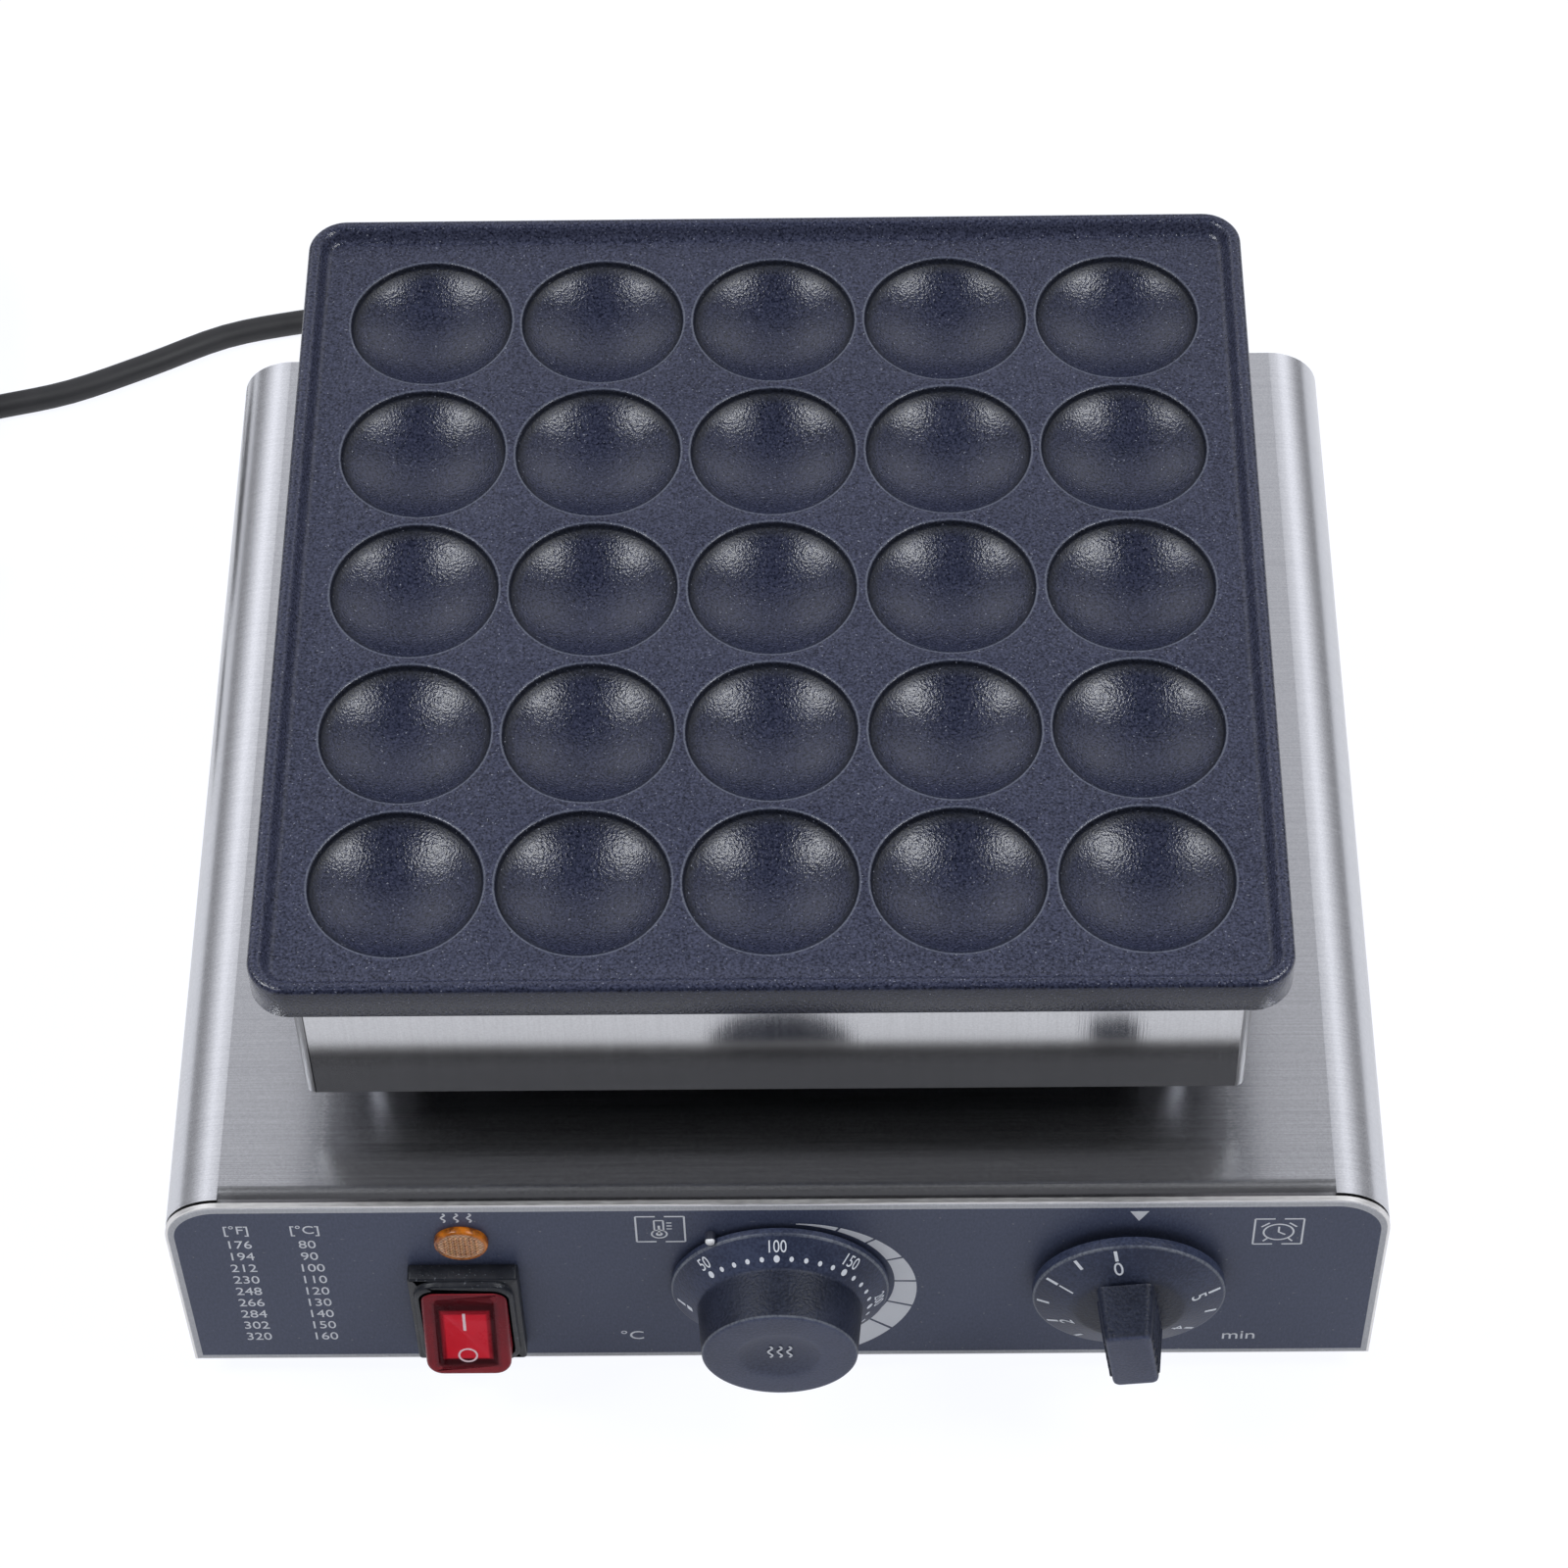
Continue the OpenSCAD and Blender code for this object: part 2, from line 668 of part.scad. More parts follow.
module heating_element() {
    color("dimgray") {
        for (s = [-1, 1]) {
            tube_run(s * run_out, front_bend_y, pin_y);
            tube_run(s * run_in, front_bend_y, rear_bend_y);
            tube_bend([s * (run_in + bend_out), front_bend_y], bend_out, 180, 180);
            translate([s * run_out, pin_y, tube_z - pin_bend]) rotate([90, 0, 90])
                rotate_extrude(angle = 90) translate([pin_bend, 0]) circle(tube_d / 2);
            translate([s * run_out, pin_y + pin_bend, tube_z - pin_bend - pin_l])
                cylinder(h = pin_l, r = tube_d / 2);
        }
        tube_bend([0, rear_bend_y], run_in, 0, 180);
    }
}

// Bars that press the heating tube, the bulb and the cut-out against the plate
module element_clamps() {
    color("lightgray") for (y = clamp_rows) translate([0, y * cup_pitch, clamp_z]) linear_extrude(clamp_t)
        difference() {
            rounded(clamp_l, clamp_w, clamp_corner);
            for (x = clamp_rows) translate([x * cup_pitch, 0]) circle(clamp_bolt_r + fit);
        }
}

module clamp_bolts() {
    color("gray") at_clamp_bolts() translate([0, 0, clamp_z]) {
        translate([0, 0, -screw_head_h]) cylinder(h = screw_head_h, r = screw_head_r + over);
        cylinder(h = under_z - clamp_z + clamp_bolt_depth - over, r = clamp_bolt_r);
    }
}

// Thermal cut-out, pressed against the plate by the front clamp bar
module thermal_cutout() {
    color("white") translate([0, clamp_rows[0] * cup_pitch, clamp_z + clamp_t + seat_gap]) {
        cylinder(h = tube_d - seat_gap, r = tube_d);
        for (s = [-1, 1]) translate([s * (tube_d + 2), 0, 2]) cube([cutout_tab.x, cutout_tab.y, sheet], center = true);
    }
}

// Thermostat bulb under the plate and its thin capillary tube down to the thermostat
bulb_l = 70;
bulb_hole = 14;
thermostat_back = steel_y + panel_t + bracket_t + thermostat_box.z;
capillary_r = 1;
capillary_route = [[0, bulb_l / 2 - 2, tube_z], [0, conduit_y - 10, tube_z], [0, conduit_y - 3, tube_z - 5],
    [0, conduit_y, tube_z - 14], [0, conduit_y, top_z + 4], [0, conduit_y - 3, top_z - 10],
    [0, conduit_y - 16, top_z - 16], [thermostat_x, face_y + 60, top_z - 16],
    [thermostat_x, thermostat_back + 14, case_z + dial_z + 14.5],
    [thermostat_x, thermostat_back + 4, case_z + dial_z + bulb_hole],
    [thermostat_x, thermostat_back - 1, case_z + dial_z + bulb_hole]];
module thermostat_bulb() {
    color("goldenrod") {
        translate([0, -bulb_l / 2, tube_z]) rotate([-90, 0, 0]) cylinder(h = bulb_l, r = tube_d / 2);
        tube(capillary_route, capillary_r, wire_sides, [1, 0, 0]);
    }
}

// Thermostat behind the panel
module thermostat_body() {
    color("white") on_panel(thermostat_x, dial_z) difference() {
        union() {
            translate([0, 0, inner_z - bracket_t]) linear_extrude(bracket_t)
                rounded(thermostat_bracket.x, thermostat_bracket.y, bracket_corner);
            translate([0, 0, inner_z - bracket_t - thermostat_box.z / 2]) cube(thermostat_box, center = true);
            translate([0, 0, inner_z - over]) cylinder(h = over - inner_z + dial_gap / 2, r = bush_r);
        }
        translate([0, 0, inner_z - shaft_in]) cylinder(h = 2 * shaft_in, r = shaft_r + turn_gap);
        for (s = [-1, 1]) translate([s * thermostat_screw_x, 0, inner_z - screw_l - over])
            cylinder(h = screw_l + 2 * over, r = screw_r + turn_gap);
        translate([0, bulb_hole, inner_z - bracket_t - thermostat_box.z - over])
            cylinder(h = 4, r = capillary_r + fit);
    }
}

module thermostat_screws() {
    color("gray") for (s = [-1, 1]) on_panel(thermostat_x + s * thermostat_screw_x, dial_z)
        translate([0, 0, -film]) screw(screw_l);
}

// Dial shaft with a flat at its outer end
module dial_shaft(reach) {
    difference() {
        translate([0, 0, inner_z - shaft_in + fit])
            cylinder(h = shaft_in - inner_z - fit + reach, r = shaft_r);
        translate([-shaft_r, shaft_r * 0.6, flat_d])
            cube([2 * shaft_r, shaft_r, reach]);
    }
}

module shaft_socket(reach) {
    difference() {
        translate([0, 0, -over]) cylinder(h = reach + over + fit, r = shaft_r + turn_gap);
        translate([-2 * shaft_r, shaft_r * 0.6 + turn_gap, flat_d + fit])
            cube([4 * shaft_r, 2 * shaft_r, reach]);
    }
}

thermostat_reach = grip_front - 5;
module thermostat_shaft() {
    color("silver") on_panel(thermostat_x, dial_z) dial_shaft(thermostat_reach);
}

// Thermostat knob: a cone-shaped dial around a plain round grip with a dished front
module thermostat_knob() {
    rim_r = thermostat_d / 2;
    grip_r = grip_d / 2;
    base_r = grip_r + 1.3;
    base_d = 9;
    dish_r = 11;
    dish = 1;
    edge = 1;
    front_d = dial_gap + dial_rim;
    color("black") on_panel(thermostat_x, dial_z) difference() {
        rotate_extrude() polygon([
            [0, dial_gap], [hub_r, dial_gap], [hub_r, grip_front - 3 * dial_wall],
            [grip_r - dial_wall - edge, grip_front - 3 * dial_wall], [base_r - dial_wall, base_d - dial_wall],
            [rim_r - dial_wall, dial_gap + edge / 2], [rim_r - dial_wall, dial_gap], [rim_r, dial_gap],
            [rim_r, front_d - edge / 2], [rim_r - edge / 2, front_d], [base_r, base_d],
            [grip_r, grip_front - edge], [grip_r - edge, grip_front], [dish_r, grip_front],
            [dish_r / 2, grip_front - 0.75 * dish], [0, grip_front - dish]]);
        shaft_socket(thermostat_reach);
    }
}

// Timer behind the panel, with its bell
module timer_body() {
    color("gainsboro") on_panel(timer_x, dial_z) difference() {
        union() {
            translate([0, 0, inner_z - timer_box.z / 2]) cube(timer_box, center = true);
            translate([0, 0, inner_z - over]) cylinder(h = over - inner_z + dial_gap / 2, r = bush_r);
            translate([0, 0, inner_z - timer_box.z - bell_post])
                cylinder(h = bell_post + over, r = bell_post_r);
        }
        translate([0, 0, inner_z - shaft_in]) cylinder(h = 2 * shaft_in, r = shaft_r + turn_gap);
        for (s = [-1, 1]) translate([s * timer_screw_x, 0, inner_z - screw_l - over])
            cylinder(h = screw_l + 2 * over, r = screw_r + turn_gap);
    }
}

bell_r = 19;
bell_post = 12;
bell_post_r = 4;
module timer_bell() {
    color("silver") on_panel(timer_x, dial_z) translate([0, 0, inner_z - timer_box.z - bell_post])
        rotate_extrude() difference() {
            translate([bell_post_r + turn_gap, 0]) square([bell_r - bell_post_r, bell_post - 2 * slip]);
            translate([bell_post_r - over, sheet]) square([bell_r - sheet - bell_post_r + over, bell_post]);
        }
}

module timer_screws() {
    color("gray") for (s = [-1, 1]) on_panel(timer_x + s * timer_screw_x, dial_z)
        translate([0, 0, -film]) screw(screw_l);
}

timer_reach = bar_front - 6;
module timer_shaft() {
    color("silver") on_panel(timer_x, dial_z) rotate([0, 0, timer_turn]) dial_shaft(timer_reach);
}

// Timer knob: a flat dial with a tapered bar across it
module timer_knob() {
    rim_r = timer_d / 2;
    edge = 1;
    draft = 1.5;
    gap = timer_gap;
    front_d = gap + timer_rim;
    crown_r = 15;
    crown = 3.7;
    color("black") on_panel(timer_x, dial_z) rotate([0, 0, timer_turn]) difference() {
        union() {
            rotate_extrude() polygon([
                [0, gap], [hub_r, gap], [hub_r, front_d], [rim_r - 2 * dial_wall, front_d - edge / 2],
                [rim_r - dial_wall, gap], [rim_r, gap], [rim_r, front_d - edge], [rim_r - edge / 2, front_d],
                [crown_r, front_d + crown], [crown_r - edge, front_d + crown + edge / 2],
                [0, front_d + crown + edge / 2]]);
            translate([0, bar_l / 2, 0]) rotate([90, 0, 0]) linear_extrude(bar_l) polygon([
                [-bar_w / 2 - draft, front_d + edge], [bar_w / 2 + draft, front_d + edge],
                [bar_w / 2, bar_front], [-bar_w / 2, bar_front]]);
        }
        shaft_socket(timer_reach);
    }
}

// Switch housing: a raised bezel with a well for the rocker and a body behind the panel
module switch_housing() {
    color("black") on_panel(switch_x, switch_z) difference() {
        union() {
            linear_extrude(flange_front) rounded(switch_flange_w, switch_flange_h, 1);
            linear_extrude(frame_front) rounded(frame_w, frame_h, rocker_r + 1.5);
            translate([0, 0, -switch_depth]) linear_extrude(switch_depth + over)
                square([frame_w, frame_h], center = true);
        }
        translate([0, 0, -well_depth]) linear_extrude(well_depth + frame_front + over)
            rounded(well_w, well_h, rocker_r);
        translate([0, 0, pivot_d]) rotate([0, 90, 0])
            cylinder(h = rocker_w + 2 * pin_reach + fit, r = pin_r + turn_gap, center = true);
    }
}

module switch_terminals() {
    color("goldenrod") on_panel(switch_x, switch_z) for (x = [-1, 1], y = [-1, 1])
        translate([x * frame_w / 4, y * frame_h / 4, -switch_depth - tab.z / 2]) cube(tab, center = true);
}

// Rocker, resting with its upper end pressed in
module rocker() {
    color("red") on_panel(switch_x, switch_z) translate([0, 0, pivot_d]) rotate([-rocker_tilt, 0, 0]) {
        translate([0, 0, -rocker_back]) linear_extrude(rocker_back + rocker_face)
            rounded(rocker_w, rocker_h, rocker_r);
        rotate([0, 90, 0]) cylinder(h = rocker_w + 2 * pin_reach, r = pin_r, center = true);
    }
}

// Lamp: a lens in the panel, its body and the ring that grips it from behind
module lamp_lens() {
    color("orange") on_panel(lamp_x, lamp_z) {
        rotate_extrude() polygon([[0, 0], [lens_d / 2, 0], [lens_d / 2, lens_front / 2],
            [lens_d / 2 - 0.8, lens_front], [0, lens_front]]);
        translate([0, 0, inner_z - stem_in]) cylinder(h = stem_in - inner_z + over, r = stem_r);
    }
}

module lamp_body() {
    color("white") on_panel(lamp_x, lamp_z) translate([0, 0, inner_z - stem_in - lamp_l])
        cylinder(h = lamp_l, r = stem_r);
}

module lamp_clip() {
    color("silver") on_panel(lamp_x, lamp_z) translate([0, 0, inner_z - clip_t]) difference() {
        cylinder(h = clip_t, r = clip_r);
        translate([0, 0, -over]) cylinder(h = clip_t + 2 * over, r = stem_r + turn_gap);
    }
}

// Terminal block on the base plate
block = [46, 20, 18];
block_y = 95;
module terminal_block() {
    color("white") translate([gland_x - block.x / 2, block_y - block.y / 2, case_z]) cube(block);
}

// Wires between the terminal block, the controls and the heating element
block_front = block_y - block.y / 2 - seat_gap;
tab_y = face_y + switch_depth + tab.z + seat_gap;
timer_rear = steel_y + panel_t + timer_box.z + seat_gap;
thermostat_rear = thermostat_back + seat_gap;
tab_dx = frame_w / 4;
tab_dz = frame_h / 4;
pin_end = [run_out, pin_y + pin_bend, tube_z - pin_bend - pin_l - seat_gap - wire_r];
lead_z = mirror_z + sheet + 2 * wire_r;
wire_x = 5;
function lead(s) = [[s * pin_end.x, pin_end.y - 2, pin_end.z], [s * (pin_end.x - 12), pin_end.y - 4, lead_z],
    [s * run_in, conduit_y + 30, lead_z], [s * wire_x * 2, conduit_y + 4, lead_z],
    [s * (wire_x + 1), conduit_y, lead_z - 3], [s * wire_x, conduit_y, lead_z - 12],
    [s * wire_x, conduit_y, top_z + 4]];
end_l = 4;
function leaving(x, y, z) = [[x, y, z], [x, y + end_l, z]];
function meeting(x, y, z) = [[x, y + end_l, z], [x, y, z]];
supply_wire = concat(
    [[gland_x - 10, block_front, case_z + 12], [gland_x - 10, block_front - end_l, case_z + 12],
     [gland_x - 11, block_front - 20, case_z + 10], [switch_x, 0, case_z + 8],
     [switch_x - tab_dx, tab_y + 40, case_z + 10],
     [switch_x - tab_dx, tab_y + 14, case_z + switch_z - tab_dz - 2]],
    meeting(switch_x - tab_dx, tab_y, case_z + switch_z - tab_dz));
timer_wire = concat(leaving(switch_x + tab_dx, tab_y, case_z + switch_z + tab_dz),
    [[switch_x + tab_dx + 2, tab_y + 10, case_z + switch_z + tab_dz + 3],
     [switch_x + 30, tab_y + 20, case_z + 60], [thermostat_x - 34, tab_y + 24, top_z - 10],
     [thermostat_x + 34, tab_y + 24, top_z - 10], [timer_x - 28, tab_y + 16, case_z + dial_z + 22]],
    meeting(timer_x - 22, timer_rear, case_z + dial_z + 21));
link_wire = concat(leaving(timer_x - 22, timer_rear, case_z + dial_z - 20),
    [[timer_x - 24, timer_rear + 14, case_z + dial_z - 21],
     [thermostat_x + 40, thermostat_rear + 20, case_z + dial_z - 22],
     [thermostat_x + 19, thermostat_rear + 12, case_z + dial_z - 17]],
    meeting(thermostat_x + 16, thermostat_rear, case_z + dial_z - 16));
heat_wire = concat(leaving(thermostat_x - 16, thermostat_rear, case_z + dial_z + 15),
    [[thermostat_x - 15, thermostat_rear + 14, case_z + dial_z + 17],
     [-wire_x * 2, 0, case_z + 62], [-wire_x, conduit_y - 14, top_z - 14],
     [-wire_x, conduit_y - 2, top_z - 6]],
    [for (i = [6:-1:0]) lead(-1)[i]]);
return_wire = concat(lead(1), [[wire_x, conduit_y + 2, top_z - 8], [-10, conduit_y + 10, case_z + 44],
    [gland_x + 12, block_front - 16, case_z + 16], [gland_x + 10, block_front - end_l, case_z + 12],
    [gland_x + 10, block_front, case_z + 12]]);
gland_end = rear_y - gland_in - seat_gap;
block_rear = block_y + block.y / 2 + seat_gap;
inner_cord = concat([[gland_x, gland_end, case_z + gland_z], [gland_x, gland_end - end_l, case_z + gland_z],
    [gland_x, (gland_end + block_rear) / 2, case_z + (gland_z + block.z / 2) / 2]],
    meeting(gland_x, block_rear, case_z + block.z / 2));
wire_up = unit([0.3, 0.5, 0.8]);
module wiring() {
    color("crimson") {
        for (w = [supply_wire, timer_wire, link_wire, heat_wire, return_wire])
            tube(w, wire_r, wire_sides, wire_up);
        tube(inner_cord, cord_r, cord_sides);
    }
}

// Cord gland through the rear panel, with a tapered boot over the cord
module cord_gland() {
    color("black") translate([gland_x, rear_y + sheet, case_z + gland_z]) rotate([-90, 0, 0]) {
        cylinder(h = gland_flange_t, r = gland_flange_r);
        translate([0, 0, -sheet - gland_in]) cylinder(h = gland_in + sheet + over, r = gland_r);
        translate([0, 0, gland_flange_t]) cylinder(h = boot_l, r1 = gland_r - over, r2 = cord_r + over);
    }
}

module gland_nut() {
    color("black") translate([gland_x, rear_y, case_z + gland_z]) rotate([90, 0, 0])
        hex_nut(gland_r + 4, gland_r, nut_h);
}

// Mains cord: the stretch from the gland to the coil, the coil with its tie, and the tail to the plug
module power_cord() {
    color("black") tube(cord_route, cord_r, cord_sides);
}

module cord_coil() {
    color("black") tube(concat([coil_enter], coil_path, [coil_leave]), cord_r, coil_sides);
}

module cord_tie() {
    inner_y0 = coil_at.y + coil_in - cord_r - 1.4;
    inner_y1 = coil_at.y + coil_out + cord_r + coil_gap;
    top = coil_base + (coil_layers - 1) * coil_step + cord_r + 0.3;
    color("dimgray") translate([coil_at.x - tie_w / 2, 0, 0]) difference() {
        translate([0, inner_y0 - tie_t, 0]) cube([tie_w, inner_y1 - inner_y0 + 2 * tie_t, top + tie_t]);
        translate([-over, inner_y0, tie_t]) cube([tie_w + 2 * over, inner_y1 - inner_y0, top - tie_t]);
    }
}

module cord_tail() {
    color("black") tube(tail_route, cord_r, cord_sides);
}

// Plug: a moulded body with a tapered boot, two flat blades and a round pin
blade = [1.5, 17.5, 6.35];
blade_gap = 12.7;
plug_pin_r = 2.4;
plug_pin_l = 20;
plug_pin_z = 5.5;
module plug_body() {
    color("black") translate(plug_tip) rotate([90, 0, 0]) {
        cylinder(h = plug_boot, r1 = cord_r + over, r2 = plug_h / 2 - 3);
        translate([0, 0, plug_boot]) linear_extrude(plug_l) rounded(plug_w, plug_h, 6);
    }
}

module plug_blades() {
    plug_face = plug_tip.y - plug_boot - plug_l;
    color("goldenrod") {
        for (s = [-1, 1]) translate([plug_tip.x + s * blade_gap / 2, plug_face - blade.y / 2, plug_tip.z - 3])
            cube(blade, center = true);
        translate([plug_tip.x, plug_face, plug_tip.z + plug_pin_z]) rotate([90, 0, 0])
            cylinder(h = plug_pin_l, r = plug_pin_r);
    }
}

// Move a piece from the casing's middle to the middle of the whole object
module placed() {
    translate([0, shift_y, 0]) children();
}

placed() casing();
placed() front_panel();
placed() panel_overlay();
placed() panel_nuts();
placed() rear_panel();
placed() rear_screws();
placed() base_plate();
placed() base_screws();
for (i = [1:4]) placed() foot(i);
placed() foot_screws();
placed() foot_nuts();
for (i = [1:4]) placed() post(i);
placed() post_bolts();
placed() post_nuts();
placed() conduit();
placed() skirt();
placed() tray();
placed() insulation_board();
placed() reflector();
placed() baking_plate();
placed() heating_element();
placed() element_clamps();
placed() clamp_bolts();
placed() thermal_cutout();
placed() thermostat_bulb();
placed() thermostat_body();
placed() thermostat_screws();
placed() thermostat_shaft();
placed() thermostat_knob();
placed() timer_body();
placed() timer_bell();
placed() timer_screws();
placed() timer_shaft();
placed() timer_knob();
placed() switch_housing();
placed() switch_terminals();
placed() rocker();
placed() lamp_lens();
placed() lamp_body();
placed() lamp_clip();
placed() terminal_block();
placed() wiring();
placed() cord_gland();
placed() gland_nut();
power_cord();
cord_coil();
cord_tie();
cord_tail();
plug_body();
plug_blades();
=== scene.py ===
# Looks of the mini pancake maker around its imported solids. Shapes are drawn in millimetres in the
# part's frame (X right, Y back, Z up) and scaled to metres when a piece is finished.
import math

import bmesh
import bpy
from mathutils import Matrix, Vector


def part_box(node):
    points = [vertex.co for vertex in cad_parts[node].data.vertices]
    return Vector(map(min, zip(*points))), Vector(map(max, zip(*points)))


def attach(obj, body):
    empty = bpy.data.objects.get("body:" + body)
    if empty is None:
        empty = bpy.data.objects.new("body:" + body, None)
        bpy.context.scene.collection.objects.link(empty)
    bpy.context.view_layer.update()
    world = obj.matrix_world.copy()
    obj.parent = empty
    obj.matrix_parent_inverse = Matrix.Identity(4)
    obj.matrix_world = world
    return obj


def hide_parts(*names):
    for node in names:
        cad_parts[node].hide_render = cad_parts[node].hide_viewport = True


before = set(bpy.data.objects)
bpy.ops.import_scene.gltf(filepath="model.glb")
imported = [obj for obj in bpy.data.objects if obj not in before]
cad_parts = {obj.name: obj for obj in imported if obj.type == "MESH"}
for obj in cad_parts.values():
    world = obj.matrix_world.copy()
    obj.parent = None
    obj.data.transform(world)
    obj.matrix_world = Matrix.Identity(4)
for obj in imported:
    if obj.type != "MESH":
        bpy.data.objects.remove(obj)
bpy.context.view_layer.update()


# Camera
# It stands in front of the maker and looks down on the baking plate.
# A long lens keeps the plate's sides nearly parallel.
def shown(name, data):
    """A new object in the scene."""
    made = bpy.data.objects.new(name, data)
    bpy.context.scene.collection.objects.link(made)
    return made


camera = shown("camera", bpy.data.cameras.new("camera"))
camera.data.sensor_width = 36
camera.data.lens = 103.53
camera.location = (0.0211, -0.7362, 1.0922)
camera.rotation_euler = [math.radians(angle) for angle in (36.246, 0.987, 0.149)]
bpy.context.scene.camera = camera
bpy.context.scene.view_settings.view_transform = "Standard"


# Mains cord
# A round rubber-sheathed flex leaves the rear of the casing, falls to the table and runs to the left.
# The length that isn't needed is wound into a tied coil, and a short tail leads to the plug.
class Wire:
    """A socket of a finish's node tree; arithmetic on it adds Math nodes."""

    def __init__(self, tree, socket):
        self.tree = tree
        self.socket = socket

    def node(self, kind, settings, inputs, output=0):
        made = self.tree.nodes.new("ShaderNode" + kind)
        for name, value in settings.items():
            setattr(made, name, value)
        for name, value in inputs.items():
            if isinstance(value, Wire):
                self.tree.links.new(value.socket, made.inputs[name])
            else:
                made.inputs[name].default_value = value
        return Wire(self.tree, made.outputs[output])

    def maths(self, operation, *values):
        return self.node("Math", {"operation": operation}, dict(enumerate(values)))

    def __add__(self, other):
        return self.maths("ADD", self, other)

    def __radd__(self, other):
        return self.maths("ADD", other, self)

    def __sub__(self, other):
        return self.maths("SUBTRACT", self, other)

    def __rsub__(self, other):
        return self.maths("SUBTRACT", other, self)

    def __mul__(self, other):
        return self.maths("MULTIPLY", self, other)

    def __rmul__(self, other):
        return self.maths("MULTIPLY", other, self)

    def __pow__(self, other):
        return self.maths("POWER", self, other)

    def __abs__(self):
        return self.maths("ABSOLUTE", self)

    def wave(self):
        return self.maths("SINE", self)

    def fraction(self):
        return self.maths("FRACT", self)

    def at_least(self, other):
        return self.maths("MAXIMUM", self, other)

    def along(self, axis):
        """One coordinate of a place: X, Y or Z."""
        return self.node("SeparateXYZ", {}, {"Vector": self}, "XYZ".index(axis))

    def noise(self, scale, detail=3.0, roughness=0.55):
        """Noise over the piece; scale is in blobs per metre, one number or one for each axis."""
        scales = scale if isinstance(scale, tuple) else (scale, scale, scale)
        stretched = self.node("Mapping", {}, {"Vector": self, "Scale": scales})
        return self.node("TexNoise", {}, {"Vector": stretched, "Scale": 1.0, "Detail": detail,
                                          "Roughness": roughness})

    def spread(self, low, high, to_low=0.0, to_high=1.0):
        """This value from low to high, spread over a new range and held at its ends."""
        return self.node("MapRange", {"clamp": True}, {"Value": self, "From Min": low, "From Max": high,
                                                       "To Min": to_low, "To Max": to_high})

    def blend(self, first, second):
        """A colour between two, by this value."""
        return self.node("Mix", {"data_type": "RGBA"},
                         {"Factor": self, "A": rgba(first), "B": rgba(second)}, 2)

    def bump(self, distance, strength=1.0):
        """A normal that follows this value as a height, up to distance in metres."""
        return self.node("Bump", {}, {"Height": self, "Distance": distance, "Strength": strength})


def rgba(colour):
    return colour if isinstance(colour, Wire) else (*colour, 1.0)


class Finish:
    """A material with one Principled shader; constants are set on the shader's own sockets."""

    def __init__(self, name, constants):
        self.material = bpy.data.materials.new(name)
        self.material.use_nodes = True
        self.tree = self.material.node_tree
        self.shader = self.tree.nodes["Principled BSDF"]
        for socket, value in constants.items():
            self.shader.inputs[socket].default_value = rgba(value) if "Color" in socket else value
        self.place = Wire(self.tree, self.tree.nodes.new("ShaderNodeTexCoord").outputs["Object"])

    def feed(self, socket, wire):
        self.tree.links.new(wire.socket, self.shader.inputs[socket])

    def fed(self, socket):
        """What feeds a socket so far."""
        return Wire(self.tree, self.shader.inputs[socket].links[0].from_socket)

    def mm(self, axis):
        """One coordinate of the place on the piece, in millimetres."""
        return self.place.along(axis) * 1000


def moulded(name, dark, light, roughness, grain=1500.0, depth=0.00004):
    """Moulded rubber or plastic: faint colour clouds, uneven gloss and a fine grain."""
    made = Finish(name, {})
    cloud = made.place.noise(60).spread(0.3, 0.7)
    fine = made.place.noise(grain, 2.0)
    made.feed("Base Color", (cloud * 0.6 + fine * 0.4).blend(dark, light))
    made.feed("Roughness", (cloud + fine).spread(0.3, 1.7, roughness - 0.08, roughness + 0.08))
    made.feed("Normal", fine.bump(depth, 0.6))
    return made


cord_d = 7.8
coil_middle = Vector((-305, 244))
coil_inside = 30
coil_layers = 4
coil_turns = 4.75
coil_step = 8.4
coil_floor = 5.4
layer_turns = coil_turns / coil_layers
coil_outside = coil_inside + coil_step * layer_turns


def coil_point(turn):
    layer = min(int(turn / layer_turns), coil_layers - 1)
    share = turn / layer_turns - layer
    inward = share if layer % 2 == 0 else 1 - share
    radius = coil_outside - (coil_outside - coil_inside) * inward
    rise = sum(max(0, min(1, (turn - k * layer_turns) * 2 + 0.5)) for k in range(1, coil_layers))
    angle = math.radians(-90 - 360 * turn)
    return Vector((coil_middle.x + radius * math.cos(angle), coil_middle.y + radius * math.sin(angle),
                   coil_floor + coil_step * rise))


def smooth_path(points, steps):
    """Points on a smooth curve through the given ones."""
    points = [Vector(p) for p in points]
    ends = [2 * points[0] - points[1], *points, 2 * points[-1] - points[-2]]
    path = []
    for a, b, c, d in zip(ends, ends[1:], ends[2:], ends[3:]):
        for i in range(steps):
            t = i / steps
            path.append(0.5 * (2 * b + (c - a) * t + (2 * a - 5 * b + 4 * c - d) * t * t
                               + (3 * b - a - 3 * c + d) * t ** 3))
    return path + [points[-1]]


def cad(node):
    """The lowest and highest corner of a solid, in millimetres."""
    return [Vector(corner) * 1000 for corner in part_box(node)]


